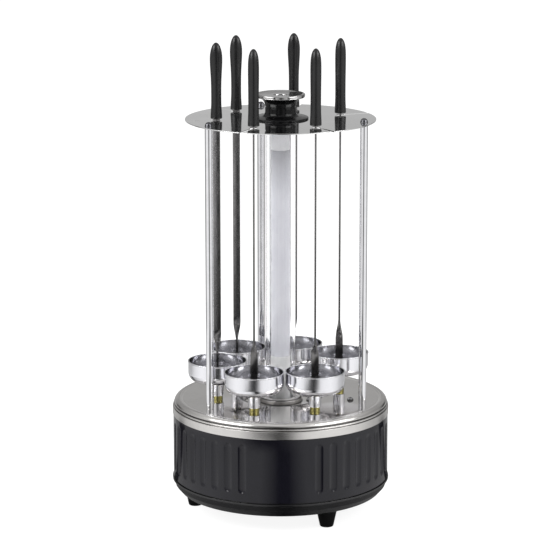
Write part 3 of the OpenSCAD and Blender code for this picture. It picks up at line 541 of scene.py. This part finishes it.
def drumShell():
    pitch = 2 * np.pi / drum["places"]
    half = drum["radius"] * pitch / 2
    across = np.array([0, 0.9, 1.8, 2.6, 3.2, 3.7, 4.1, 4.5, 5.0, 5.7, 6.5])
    across = np.concatenate([-across[:0:-1], across, [half]])
    group = drum["places"] // 2
    fluted = [k for k in range(drum["places"]) if k % group not in drum["plain"]]
    angle, offCentre = [], []
    for k in range(drum["places"]):
        x = across if k in fluted else np.array([-half * 0.5, 0, half * 0.5, half])
        angle.append(-np.pi / 2 + pitch * (k + 0.5) + x / drum["radius"])
        offCentre.append(x if k in fluted else np.full(len(x), drum["clear"]))
    angle, offCentre = np.concatenate(angle), np.concatenate(offCentre)
    end = np.array([0, 0.9, 1.7, 2.5, 3.1, 3.6, 4.0, 4.35, 4.7, 5.1, 5.6, 6.3])
    r, s, n, low, high = (drum[k] for k in ("radius", "sheet", "neck", "foot", "high"))
    zs = np.concatenate([[low + 0.5, 38.0], drum["low"] - end[::-1],
                         [drum["low"] + 1, 68.0, high - 1], high + end, [skirtZ - 0.6]])
    k = skirtZ
    top = softened([(r, k - 2, 0), (r, k, 0.3), (n, k, 0.3), (n, k + 6, 0.3), (n - s, k + 6, 0.3),
                    (n - s, k - s, 0.3), (r - s, k - s, 0.3), (r - s, k - 4, 0)],
                   closed=False)[1:-1]
    foot = softened([(r - s, low + 3, 0), (r - s, low, 0.2), (r, low, 0.3), (r, low + 3, 0)],
                    closed=False)[1:-1]
    outside = np.stack([np.full(len(zs), r), zs, np.zeros(len(zs))], 1)
    inside = outside[::-1] - [s, 0, 0]
    profile = np.concatenate([outside[:-1], top, inside[1:-1], foot])
    # Each row is cut by the tool outside (1), by a tool one sheet larger inside (2) or by none.
    tool = np.concatenate([np.ones(len(zs) - 1), np.zeros(len(top)), np.full(len(zs) - 2, 2),
                           np.zeros(len(foot))])
    x, z = np.meshgrid(offCentre, profile[:, 1])
    t = drum["tool"]
    cut = np.where(tool[:, None] == 1, fluteDepth(x, z, t, t - drum["depth"]),
                   np.where(tool[:, None] == 2, fluteDepth(x, z, t + s, t + s - drum["depth"]), 0))
    radius = profile[:, :1] - cut
    p = np.stack([radius * np.cos(angle), radius * np.sin(angle), z], 2)
    a = np.radians(np.arange(0, 360, 10))
    h, z, (near, out) = drum["glandHole"], drum["gland"], drum["glandCut"]
    ring = np.stack([h * np.cos(a), np.zeros(len(a)), z + h * np.sin(a)], 1)
    rings = np.stack([ring * [k, 1, k] + [0, y, (1 - k) * z]
                      for k, y in ((0, out), (1, out), (1, near), (0, near))])
    piece("drumShell", [patch(p, profile[:, 2], True, True)], "drum_shell",
          blackEnamel, [[patch(rings)]], sharp=48)


deck = {"radius": 112, "sheet": 0.8, "flat": 101.5, "boss": 21.9, "bossHeight": 0.7, "well": 39.6,
        "crest": (105.2, 5.4), "heaterHole": 15.8, "bushHole": 4.6, "postHole": 2.6,
        "screwHole": 2.1}


def deckPlate():
    z, g, (crest, curl) = deckZ, skirtZ + 11.3, deck["crest"]
    b, h, r, s, w, f = (deck[k] for k in ("boss", "bossHeight", "radius", "sheet", "well", "flat"))
    boss = [(deck["heaterHole"], z + h - s, 0.1), (deck["heaterHole"], z + h, 0.3),
            (b - 3.2, z + h, 0)]
    boss += [(*q, 0.2) for q in arc((b - 2.6, z + h - 2.6), 2.6, 90, 0, 10)]
    boss += [(b, wellZ + 1.2, 0), (b, wellZ, 0.3), (b + 1, wellZ, 0), (b + 1.7, wellZ, 0),
             (w - 2.4, wellZ, 0), (w - 1.4, wellZ, 0.5), (w - 0.4, wellZ + 0.5, 0.5)]
    boss += [(*q, 0.2) for q in arc((w + 1.2, z - 1.2), 1.2, 180, 90, 8)]
    boss += [(w + 3.4, z, 0), (w + 4.4, z, 0)]
    rim = [(f, z, 0.5), (f + 0.5, z - 0.3, 0.3), (f + 1.2, z + 0.1, 0.6), (104, z + 0.1, 0.8),
           (105.6, z + 0.3, 0.6)]
    rim += [(*q, 0.5) for q in arc((crest, z + 0.3 - curl), curl, 76, 12, 11)]
    rim += [(109.9, g + 0.6, 0.2), (109.6, g, 0.4), (109.9, g - 0.5, 0.3), (110.8, g - 0.8, 0.25),
            (111.3, g - 1.2, 0.4), (111.35, g - 1.8, 0.4), (111.2, g - 2.4, 0.3),
            (110.9, g - 2.8, 0.2), (110.9, g - 3.1, 0.15), (111.85, g - 3.3, 0.3),
            (r, g - 3.7, 0.3), (r, skirtZ, 0.3)]
    under = [(r - s, skirtZ, 0.3), (r - s, g - 4.3, 0.4), (109.8, g - 3.7, 0.5),
             (109.2, g - 1.5, 0.5), (108.8, g - 0.5, 0.4), (108.8, g + 0.5, 0.4)]
    under += [(*q, 0.4) for q in arc((crest, z + 0.3 - curl), curl - s, 25, 80, 8)]
    under += [(103, z - 1.2), (f, z - s - 0.3), (f - 1, z - s), (w + 1.6, z - s, 0.4),
              (w + s, z - s - 0.8, 0.3), (w + s, wellZ + 0.4, 0.3), (w, wellZ - s + 0.4, 0.3),
              (w - 1, wellZ - s, 0.3), (b, wellZ - s, 0.3), (b - s, wellZ - s + 0.4),
              (b - s, z + h - 2.6), (b - 2.6, z + h - s)]
    profile = softened(boss + rim + under, steps=2)
    # Each mark's value, then its window of radii and heights. Zero clears the edges on the boss
    # and the flat round it; the negative values are painted shade: the rim and the boss wall are
    # toned darker, and dark lines are painted in the rim's two grooves, round the well's lip, at
    # the boss's shoulder and round its foot.
    for value, *window in (
            (0, 0, w + 5, z - 0.01), (-0.22, 104, r + 1, skirtZ - 1),
            (-0.4, b - 0.3, b + 0.3, wellZ + 0.8), (-1, 109, 110.6, g - 0.75, g + 0.9),
            (-1, 110.5, 111.3, g - 3.3, g - 2.5), (-1, w - 1, w + 3.5, z - 2),
            (-1, b - 1.5, b - 0.25, z + h - 1.5),
            (-1, b - 0.5, b + 1.3, wellZ - 0.15, wellZ + 0.75)):
        mark(profile, value, *window)
    holes = [(*onRing(stationRing, a), deck["bushHole"]) for a in stations]
    holes += [(*onRing(postRing, a), deck["postHole"]) for a in postAngles]
    holes += [(x, y, deck["screwHole"]) for x, y, _ in screwPlaces]
    cuts = [turned([(0, z - 8), (q, z - 8), (q, z + 3), (0, z + 3)], 32, False, (x, y))
            for x, y, q in holes]
    piece("deckPlate", [turned(profile, 232)], "deck_plate", deckSteel, [cuts],
          sharp=34)


# Dome-headed screw: a low dome over a short shank, with painted shade round the foot of its head
# and in the cross recess. Gives the body and the two tools that cut the cross.
def domeScrew(x, y, z, head, height, shank, length, turn):
    ball = (head * head + height * height) / (2 * height)
    reach = math.degrees(math.asin(head / ball))
    dome = [(*q, 0) for q in arc((0, z + height - ball), ball, 90 - reach * 0.93, 90, 12)]
    under = [(0, z - length, 0), (shank, z - length, 0.3), (shank, z, 0.1), (head - 0.1, z, 0.2),
             (head, z + 0.25, 0.2)]
    dome[-1] = (0, z + height, 0)
    profile = softened(under + dome, closed=False)
    # Painted shade round the foot of the head.
    mark(profile, -0.8, head - 0.55, head + 1, z - 0.01)
    arm = raised(roundedBox(head * 0.52, head * 0.15, head * 0.12, 3), z + height * 0.35,
                 z + height + 1)
    # The tools' edge value of -1 carries painted shade into the cross recess they cut.
    arm["edge"] -= 1
    return turned(profile, 48, False, (x, y)), [moved(arm, x, y, 0, turn + q) for q in (0, 90)]


# Sizes are head radius, head height and shank radius.
screw = {"sizes": (3.4, 3, 2), "long": 7, "short": 6, "turns": (20, 65, 38, 80)}


def deckScrews():
    bodies, crosses = zip(*[
        domeScrew(x, y, z, *screw["sizes"], screw["long" if z == deckZ else "short"], turn)
        for (x, y, z), turn in zip(screwPlaces, screw["turns"])])
    piece("deckScrews", bodies, "deck_screws", screwSteel, zip(*crosses), sharp=34)


bush = {"radius": 5.2, "height": 3.7, "bore": 3.05, "neck": 4.55, "below": 8}


def deckBushes():
    r, b, n, z = bush["radius"], bush["bore"], bush["neck"], deckZ
    low, mid, top = z - bush["below"], z + bush["height"] / 2, z + bush["height"]
    profile = softened(
        [(b, low), (n, low), (n, z, 0.1), (r, z, 0.15), (r, mid - 0.3, 0.45),
         (r - 0.6, mid - 0.15, 0.15), (r - 0.6, mid + 0.1, 0.15), (r, mid + 0.25, 0.3),
         (r, top, 0.6), (b, top, 0.3)])
    shapes = [turned(profile, 64, centre=onRing(stationRing, a)) for a in stations]
    piece("deckBushes", shapes, "deck_bushes", brass)


# Gland: a merged copy of the CAD node's own mesh, so that it can be shaded smooth.
def cordGland():
    mesh = nodes["cord_gland"].data.copy()
    mergeDoubles(mesh, 1e-6)
    piece("cordGland", None, "cord_gland", footRubber, sharp=30, mesh=mesh)


for make in (bottomPan, feet, drumShell, deckPlate, deckScrews, deckBushes, cordGland):
    make()
print("base dressed")

# Drip cups.

cup = {"radius": 30.75, "bottom": 136.5, "height": 21.7, "wall": 0.9, "rounding": 9.5,
       "lip": 0.45, "stem": 6.25, "stemBottom": 121.0, "hubTop": 141.5, "bore": 3.05,
       "insideShade": -0.4, "boreTop": 130.5, "slotTop": 150, "slotBottom": 133.2, "slot": (4.1, 1.3)}


def dripCup(n, angle, facing):
    r, z, w, k = cup["radius"], cup["bottom"], cup["wall"], cup["rounding"]
    top, body, s = z + cup["height"], r - cup["lip"], cup["stem"]
    b, deep, low = cup["bore"], cup["boreTop"], cup["stemBottom"]
    lower = [(0, deep, 0), (b, deep, 0.1), (b, low, 0.1), (s, low, 0.3), (s, z, 1.4)]
    outside = [(*q, 0.2) for q in arc((body - k, z + k), k, -90, 0, 18)]
    rim = [(body, top - 1.3, 0.3), (r, top - 0.9, 0.3), (r, top - 0.1, 0.35),
           (body - w, top, 0.35), (body - w, top - 1.0, 0.3)]
    inside = [(*q, 0.2) for q in arc((body - k, z + k), k - w, 0, -90, 18)]
    hub = [(s, z + w, 0.8), (s, cup["hubTop"], 0.7), (0, cup["hubTop"], 0)]
    profile = softened(lower + outside + rim + inside + hub, closed=False)
    # The cup's inside is painted darker: painted shade in its hollow.
    mark(profile, cup["insideShade"], s, body - w + 0.05, z + w - 0.1)
    x, y = onRing(stationRing, angle)
    slot = moved(raised(roundedBox(*cup["slot"], 0.6), cup["slotBottom"], cup["slotTop"]),
                 x, y, 0, facing + 90)
    piece(f"dripCup{n}", [turned(profile, 128, False, (x, y))], f"drip_cup_{n}",
          cupAluminium, [[slot]], body=f"spindle_{n}")


for n in range(1, 7):
    dripCup(n, stations[n - 1], bladeFacing[n - 1])
print("cups dressed")

# Heater.

heater = {"glass": 15.5, "glassWall": 2, "glassBottom": 109, "quartz": 10, "bore": 8.45,
          "quartzBottom": 161, "quartzTop": 376.5, "spigot": 8.4, "spigotHeight": 5,
          "ceramicBottom": 95.4, "upper": 9.75, "upperHole": 2.55}


def tube(bore, radius, low, high, softness):
    corners = [(bore, low), (radius, low), (radius, high), (bore, high)]
    return turned(softened(corners, softness=softness))


def heaterTubes():
    h, g, s, q = heater, heater["glass"], heater["spigot"], heater["quartz"]
    u, b, z, k = h["upper"], h["upperHole"], h["quartzBottom"], h["quartzTop"]
    glass = tube(g - h["glassWall"], g, h["glassBottom"], plateUnderZ, 0.5)
    piece("outerGlass", [glass], "outer_glass", clearGlass)
    piece("quartzTube", [tube(h["bore"], q, z, k, 0.4)], "quartz_tube", milkyQuartz)
    low, top = h["ceramicBottom"], z + h["spigotHeight"]
    low = softened([(0, low, 0), (q, low, 0.5), (q, z, 0.4), (s, z, 0.1), (s, top, 0.4),
                    (0, top, 0)], closed=False)
    piece("lowerCeramic", [turned(low, 96, False)], "lower_ceramic", lowerCeramic)
    high = softened([(0, k - 5, 0), (s, k - 5, 0.4), (s, k, 0.1), (u, k, 0.5),
                     (u, plateUnderZ, 0.3), (b, plateUnderZ, 0.3), (b, plateUnderZ - 14, 0.1),
                     (0, plateUnderZ - 14, 0)], closed=False)
    piece("upperCeramic", [turned(high, 96, False)], "upper_ceramic", steatite)


coil = {"turns": 64, "radius": 6.4, "wire": 0.6, "low": 166, "high": 371.5, "lead": 3.0,
        "steps": 24, "sides": 8}


# Coil: a tube of the wire's radius carried along a helix. At t from 0 to 1 the angle is the full
# turn times the number of turns and t, and the height rises evenly. At both ends the wire runs
# upright into its ceramic.
def heatingCoil():
    c, r, end = coil, coil["radius"], 2 * np.pi * coil["turns"]
    t = np.linspace(0, 1, c["turns"] * c["steps"] + 1)
    low, high = c["low"] + c["lead"], c["high"] - c["lead"]
    path = np.stack([r * np.cos(end * t), r * np.sin(end * t), low + (high - low) * t], 1)
    first = [(r, 0, c["low"]), (r, -0.05, low - 1.2)]
    last = [(r * math.cos(end), 0.05, high + 1.2), (r, 0, c["high"])]
    path = np.concatenate([first, path, last])
    along = np.gradient(path, axis=0)
    along[[0, 1, -2, -1]] = (0, 0, 1)
    along /= np.linalg.norm(along, axis=1)[:, None]
    out = path * [1, 1, 0]
    out /= np.linalg.norm(out, axis=1)[:, None]
    side = np.cross(along, out)
    side /= np.linalg.norm(side, axis=1)[:, None]
    a = np.linspace(0, 2 * np.pi, c["sides"], endpoint=False)
    ring = (np.cos(a)[None, :, None] * out[:, None] + np.sin(a)[None, :, None] * side[:, None])
    p = path[:, None] + c["wire"] * ring
    p = np.concatenate([np.repeat(path[:1, None], c["sides"], 1), p,
                        np.repeat(path[-1:, None], c["sides"], 1)])
    piece("heatingCoil", [patch(p)], "heating_coil", coilWire)


heaterTubes()
heatingCoil()
print("heater dressed")

# Posts, top plate and knob.

post = {"radius": 4, "stud": 2, "studTop": 410.6, "thread": 2.5, "bottom": 85}
nut = {"bore": 2.05, "flange": 3.9, "radius": 3.7, "collar": 0.6, "deep": 2.4}


def supportPosts():
    r, s, w, low, top = (post[k] for k in ("radius", "stud", "thread", "bottom", "studTop"))
    profile = softened(
        [(0, low, 0), (w, low, 0.4), (w, deckZ, 0.1), (r - 0.4, deckZ, 0.05),
         (r - 0.4, deckZ + 0.5, 0.05), (r, deckZ + 0.5, 0.15), (r, plateUnderZ, 0.3),
         (s, plateUnderZ, 0.1), (s, top, 0.3), (0, top, 0)], closed=False)
    shapes = [turned(profile, 48, False, onRing(postRing, a)) for a in postAngles]
    piece("supportPosts", shapes, "support_posts", postChrome)
    b, f, q, z = nut["bore"], nut["flange"], nut["radius"], plateZ + nut["collar"]
    dome = softened(
        [(b, plateZ, 0.1), (f, plateZ, 0.2), (f, z, 0.3)]
        + [(*k, 0) for k in arc((0, z), q, 0, 90, 14)][1:-1]
        + [(0, z + q, 0), (0, plateZ + nut["deep"], 0), (b, plateZ + nut["deep"], 0.1)])
    shapes = [turned(dome, 40, True, onRing(postRing, a)) for a in postAngles]
    piece("domeNuts", shapes, "dome_nuts", nutChromeWithPaintedShade)


plate = {"radius": 97.25, "slot": 1.8, "slotReach": 45, "hole": 5, "postHole": 2.05,
         "middle": 2.6}


# Plate: a disc with one keyhole for each skewer, a round hole with a slot running out of the rim.
def topPlate():
    z0, z1 = plateUnderZ, plateZ
    r, m, s, h, q, reach = (plate[k] for k in ("radius", "middle", "slot", "hole", "postHole",
                                               "slotReach"))
    profile = softened([(m, z0), (r, z0, 0.3), (r, z1, 0.3), (m, z1)])
    lean = math.degrees(math.asin(s / h))
    keyhole = arc((0, 0), h, lean, 360 - lean, 40) + [(reach, -s), (reach, s)]
    z0, z1 = z0 - 1, z1 + 1
    cuts = [moved(raised(keyhole, z0, z1), *onRing(stationRing, a), turn=a) for a in stations]
    cuts += [turned([(0, z0), (q, z0), (q, z1), (0, z1)], 32, False, onRing(postRing, a))
             for a in postAngles]
    piece("topPlate", [turned(profile, 256)], "top_plate", plateSteel, [cuts],
          sharp=30)


# The screw's sizes are head radius, head height and shank radius.
knobSizes = {"bore": 2.6, "flange": 28.5, "waist": 15.8, "bead": 15.2, "top": 23, "height": 21.8,
             "cap": 25, "seat": 1.2, "dish": 2.6, "screw": (4.6, 1.6, 2.5), "screwBelow": 11}


def knob():
    z, k = plateZ, knobSizes
    b, f, w = k["bore"], k["flange"], k["waist"]
    body = [(b, z, 0.2), (f, z, 0.2), (f, z + 0.8, 0.2)]
    body += [(*q, 0.1) for q in arc((f - 0.9, z + 0.9), 0.9, 5, 80, 8)]
    body += [(*q, 0.1) for q in arc((w + 5.2, z + 7.6), 5.2, 250, 180, 14)]
    body += [(w, z + 11.6, 0.4), (k["bead"], z + 12, 0.3), (k["bead"], z + 12.8, 0.3),
             (w, z + 13.2, 0.4)]
    body += [(*q, 0.1) for q in arc((w + 8.6, z + 13.4), 8.4, 175, 105, 16)]
    z += k["height"]
    body += [(k["top"], z, 0.2), (b, z, 0.2)]
    piece("knobBody", [turned(softened(body), 128)], "knob_body", knobBlack,
          sharp=50)
    r, d, s = k["cap"], z + k["dish"], z + k["seat"]
    cap = [(b, z, 0.1), (r - 0.8, z, 0.5), (r, z + 0.8, 0.5), (r, z + 2.2, 0.3)]
    cap += [(*q, 0.1) for q in arc((r - 1.4, d), 1.4, 5, 95, 8)]
    cap += [(r - 2.8, d + 1.15, 0.5), (r - 5, d + 0.5, 1), (12, d, 2), (7.4, d, 0.6),
            (6.7, d - 0.5, 0.5), (6.4, s, 0.3), (b, s, 0.1)]
    piece("knobCap", [turned(softened(cap), 128)], "knob_cap", knobChrome,
          sharp=50)
    body, cross = domeScrew(0, 0, s, *k["screw"], s - plateUnderZ + k["screwBelow"], 25)
    piece("knobScrew", [body], "knob_screw", screwSteel,
          [[tool] for tool in cross], sharp=34)


supportPosts()
topPlate()
knob()
print("top dressed")

# Skewers.

blade = {"width": 7.6, "thickness": 2.0, "edge": 0.45, "tip": 133.5, "point": 4.0, "tipWidth": 1.6,
         "twist": 165.0, "twistLength": 27.0, "top": 450.3, "footDarkeningHeights": (140, 200, 300, 400),
         "footDarkening": (0.68, 0.60, 0.15, 0.0)}


# Blade: a rounded strip section carried up its length, narrowing to the point at its foot. Across
# the twist it turns by a quarter: at t from 0 to 1 the turn is 90 degrees times one less t, plus a
# small share of sin(2 pi t), which eases both ends. The steel's colour is darker towards the foot.
def bladeShape():
    b = blade
    section = roundedBox(b["width"] / 2, b["thickness"] / 2, b["edge"], 4)
    low, high = b["twist"], b["twist"] + b["twistLength"]
    foot = b["tip"] + np.array([0, 0, 0.15, 1, 2, 3, 3.85, 4.15, 6])
    top = b["top"] - np.array([0.3, 0, 0])
    z = np.concatenate([foot, [low - 1], np.linspace(low, high, 31), [high + 1, 300], top])
    t = np.clip((z - low) / b["twistLength"], 0, 1)
    turn = np.pi / 2 * (1 - t + 0.45 * np.sin(2 * np.pi * t) / (2 * np.pi))
    taper = b["tipWidth"] + (b["width"] - b["tipWidth"]) * (z - b["tip"]) / b["point"]
    wide = np.clip(taper, 0, b["width"]) / b["width"]
    deep = np.ones(len(z))
    wide[[0, -1]], deep[[0, -1]] = 0, 0
    across, through = section[None, :, 0] * wide[:, None], section[None, :, 1] * deep[:, None]
    c, s = np.cos(turn)[:, None], np.sin(turn)[:, None]
    p = np.stack([across * c - through * s, across * s + through * c,
                  np.repeat(z[:, None], len(section), 1)], 2)
    return patch(p, -np.interp(z, b["footDarkeningHeights"], b["footDarkening"]))


handle = {"low": 410.3, "length": 77, "sides": 56, "rows": 60, "closing": 0.75,
          "wide": (5.15, (0.75, 0, 0.13), (1.2, 0.78, 0.22)),
          "deep": (5.3, (0.55, 0, 0.13), (0.25, 0.7, 0.2))}


# Handle: an oval section carried up the length. At t from 0 to 1 the half width and the half depth
# are each a plain size and two bell-shaped swellings, given by height, middle and spread, and both
# close in over the last quarter.
def handleShape():
    h, end = handle, 1 - handle["closing"]
    t = np.concatenate([np.linspace(0, h["closing"], h["rows"] // 2),
                        1 - end * np.linspace(1, 0, h["rows"]) ** 2.2])
    t = np.unique(np.round(t, 6))
    close = np.sqrt(np.clip(1 - (np.clip(t - h["closing"], 0, 1) / end) ** 3, 0, 1))
    foot = np.array([[0, 0], [0.90, 0], [0.95, 0.05], [0.985, 0.25], [1, 0.7]])
    halves = []
    for plainSize, *swellings in (h["wide"], h["deep"]):
        half = plainSize + sum(a * np.exp(-((t - c) / w) ** 2) for a, c, w in swellings)
        halves.append(np.concatenate([foot[:, 0] * half[0] * close[0], (half * close)[1:]]))
    wide, deep = halves
    z = np.concatenate([h["low"] + foot[:, 1], h["low"] + h["length"] * t[1:]])
    a = np.linspace(0, 2 * np.pi, h["sides"], endpoint=False)
    p = np.stack([wide[:, None] * np.cos(a), deep[:, None] * np.sin(a),
                  np.repeat(z[:, None], len(a), 1)], 2)
    return patch(p)


for n in range(1, 7):
    place = *onRing(stationRing, stations[n - 1]), 0, bladeFacing[n - 1]
    piece(f"blade{n}", [moved(bladeShape(), *place)], f"blade_{n}", bladeSteel,
          sharp=30, body=f"skewer_{n}")
    piece(f"handle{n}", [moved(handleShape(), *place)], f"handle_{n}",
          handleBlack, sharp=60, body=f"skewer_{n}")
print("skewers dressed")

# CAD nodes kept as they are, each with its finish.

kept = {"motor_shaft": spindleSteel, "gear_plate": chassisSteel, "heater_socket": steatite}
for name in ("drive_gear", "motor_pinion", "terminal_block"):
    kept[name] = nylon
for name in ("base_screws", "deck_spacers", "motor_body", "motor_screws", "heater_bracket",
             "plate_nuts"):
    kept[name] = zincSteel
for n in range(1, 7):
    kept[f"spindle_{n}"], kept[f"pinion_{n}"] = spindleSteel, nylon
for name, look in kept.items():
    nodes[name].data.materials.clear()
    nodes[name].data.materials.append(look)
left = [name for name, o in nodes.items() if not o.hide_render and name not in kept]
print("inner nodes finished; without one:", left)

# Studio.

# How bright the surroundings are, by direction from straight ahead (0) to straight behind (1): a
# dark panel ahead, broad white panels beside it with a dark flag near the back, greyer behind.
# The first list is for the walls, the others for three zones of the floor.
studio = {
    "panel": [(0.0, 0.02), (0.024, 0.03), (0.06, 0.36), (0.11, 0.62), (0.20, 0.66), (0.35, 0.70),
              (0.50, 0.66), (0.60, 0.55), (0.68, 0.42), (0.742, 0.30), (0.762, 0.03),
              (0.825, 0.03), (0.85, 0.28), (0.93, 0.42), (1.0, 0.50)],
    "table": [(0.0, 0.02), (0.024, 0.03), (0.06, 0.42), (0.11, 0.84), (0.20, 0.90), (0.35, 1.0),
              (0.42, 0.85), (0.49, 0.70), (0.56, 0.50), (0.622, 0.42), (0.637, 0.03),
              (0.695, 0.03), (0.712, 0.35), (0.80, 0.45), (1.0, 0.50)],
    "middle": [(0.0, 0.03), (0.045, 0.05), (0.085, 0.22), (0.12, 0.48), (0.16, 0.80),
               (0.22, 0.95), (0.35, 1.0), (0.50, 0.85), (0.60, 0.60), (0.80, 0.45), (1.0, 0.50)],
    "far": [(0.0, 0.03), (0.05, 0.08), (0.09, 0.35), (0.125, 0.78), (0.20, 0.92), (0.35, 1.0),
            (0.50, 0.85), (0.60, 0.60), (0.68, 0.42), (0.80, 0.45), (1.0, 0.50)],
    "aside": {"panel": 0.05, "table": 0.05, "middle": -0.17, "far": -0.02},
    "diffuse": 0.55, "crown": 0.70, "crownRise": (0.12, 0.3), "overhead": 0.70,
    "overheadRise": (0.45, 0.8)}


def grey(value):
    return value, value, value, 1


# The brightness by direction: the angle from straight ahead, moved aside by a fixed amount in
# radians, over pi, looked up in the list of stops.
def makeGlow(key):
    tree, start, end = newGroup(key + "Glow", {}, "Value")
    parts = addNode(tree, "SeparateXYZ", {0: start["Vector"]}).outputs
    turn = mathNode(tree, "ARCTAN2", parts["X"], times(tree, parts["Y"], -1.0))
    turn = mathNode(tree, "SUBTRACT", turn, studio["aside"][key])
    share = mathNode(tree, "DIVIDE", mathNode(tree, "ABSOLUTE", turn), math.pi)
    ramp = addNode(tree, "ValToRGB", {"Fac": share})
    elements, stops = ramp.color_ramp.elements, studio[key]
    elements[0].position, elements[1].position = 0.0, 1.0
    for position, value in stops[1:-1]:
        elements.new(position)
    for element, (position, value) in zip(elements, stops):
        element.position, element.color = position, grey(value)
    tree.links.new(ramp.outputs["Color"], end["Value"])
    return tree


glows = {key: makeGlow(key) for key in studio["aside"]}


def glow(tree, key, place):
    return useGroup(tree, glows[key], {"Vector": place}).outputs[0]


# The camera, and what it sees through glass, gets plain white.
def isShown(tree, path):
    return mathNode(tree, "MAXIMUM", path["Is Camera Ray"], path["Is Transmission Ray"])


def makeWorld():
    world = bpy.data.worlds.new("studio")
    bpy.context.scene.world = world
    world.use_nodes = True
    tree = world.node_tree
    tree.nodes.clear()
    path = addNode(tree, "LightPath").outputs
    place = addNode(tree, "TexCoord").outputs["Generated"]
    up = addNode(tree, "SeparateXYZ", {0: place}).outputs["Z"]
    crown = times(tree, glow(tree, "middle", place), studio["crown"])
    rise = mapRange(tree, up, *studio["crownRise"])
    around = mixColour(tree, rise, glow(tree, "panel", place), crown)
    rise = mapRange(tree, up, *studio["overheadRise"])
    around = mixColour(tree, rise, around, grey(studio["overhead"]))
    level = mixColour(tree, path["Is Glossy Ray"], grey(studio["diffuse"]), around)
    level = mixColour(tree, isShown(tree, path), level, grey(1))
    background = addNode(tree, "Background", {"Color": level, "Strength": 1.0})
    addNode(tree, "OutputWorld", {"Surface": background.outputs[0]})


# The floor is white to the camera and through glass, and takes the object's shadow: part of its
# brightness is its own and the rest is the light that reaches it. Gloss sees the studio's panels
# in it, in zones that come and go between these distances in metres, and darker close by: a
# painted shadow round the object's foot that only reflections show. To other light it is a dull
# grey.
floorValues = {"half": 6.0, "own": 0.90, "colour": 0.30, "dull": 0.8, "near": (0.12, 0.21, 0.25),
               "zones": {"middle": ((0.40, 0.46), (0.63, 0.68)),
                         "far": ((0.63, 0.68), (0.80, 0.95))}}


def makeFloor():
    f, h = floorValues, floorValues["half"]
    mesh = bpy.data.meshes.new("floor")
    mesh.from_pydata([(-h, -h, 0), (h, -h, 0), (h, h, 0), (-h, h, 0)], [], [(0, 1, 2, 3)])
    obj = addObject("floor", mesh)
    look = bpy.data.materials.new("paleFloor")
    look.use_nodes = True
    tree = look.node_tree
    tree.nodes.clear()
    path = addNode(tree, "LightPath").outputs
    place = addNode(tree, "TexCoord").outputs["Object"]
    away = addNode(tree, "VectorMath", {0: place}, operation="LENGTH").outputs["Value"]
    around = glow(tree, "table", place)
    for key, (start, end) in f["zones"].items():
        share = times(tree, mapRange(tree, away, *start), mapRange(tree, away, *end, 1.0, 0.0))
        around = mixColour(tree, share, around, glow(tree, key, place))
    # Painted shadow: what gloss sees of the floor darkens close to the object.
    around = times(tree, around, mapRange(tree, away, *f["near"]))
    matt = addNode(tree, "BsdfDiffuse", {"Color": grey(f["colour"])})
    own = addNode(tree, "Emission", {"Color": grey(1), "Strength": f["own"]})
    pale = addNode(tree, "AddShader", {0: matt.outputs[0], 1: own.outputs[0]})
    mirrored = addNode(tree, "Emission", {"Color": around, "Strength": 1.0})
    dull = addNode(tree, "BsdfDiffuse", {"Color": grey(f["dull"])})
    hidden = addNode(tree, "MixShader", {
        0: path["Is Glossy Ray"], 1: dull.outputs[0], 2: mirrored.outputs[0]})
    surface = addNode(tree, "MixShader", {
        0: isShown(tree, path), 1: hidden.outputs[0], 2: pale.outputs[0]})
    addNode(tree, "OutputMaterial", {"Surface": surface.outputs[0]})
    mesh.materials.append(look)


# Place and size in metres, power in watts, and whether the object mirrors the lamp.
lamps = {"leftPanel": ((-2.2, -1.2, 1.85), (2.1, 1.1), 36, True),
         "rightPanel": ((2.2, -1.0, 1.8), (2.1, 1.1), 30, True),
         "topPanel": ((0, 0.2, 2.6), (1.8, 1.8), 22, False)}
lampTarget = (0, 0, 0.2)


def areaLight(name, place, size, power, mirrored):
    data = bpy.data.lights.new(name, "AREA")
    data.shape, data.size, data.size_y, data.energy = "RECTANGLE", *size, power
    obj = addObject(name, data)
    obj.location = place
    obj.rotation_euler = (Vector(lampTarget) - Vector(place)).to_track_quat("-Z", "Y").to_euler()
    obj.visible_glossy = mirrored


cameraValues = {"place": (-0.0006, -2.692, 0.837), "pitch": 77.5, "lens": 172.16, "sensor": 36.0,
                "clip": (0.05, 50)}


def makeCamera():
    c, data = cameraValues, bpy.data.cameras.new("camera")
    obj = addObject("camera", data)
    data.sensor_width, data.lens = c["sensor"], c["lens"]
    data.clip_start, data.clip_end = c["clip"]
    obj.location, obj.rotation_euler = c["place"], (math.radians(c["pitch"]), 0, 0)
    bpy.context.scene.camera = obj


makeWorld()
makeFloor()
for name, values in lamps.items():
    areaLight(name, *values)
makeCamera()
bpy.context.scene.view_settings.view_transform = "Standard"
print("studio set")
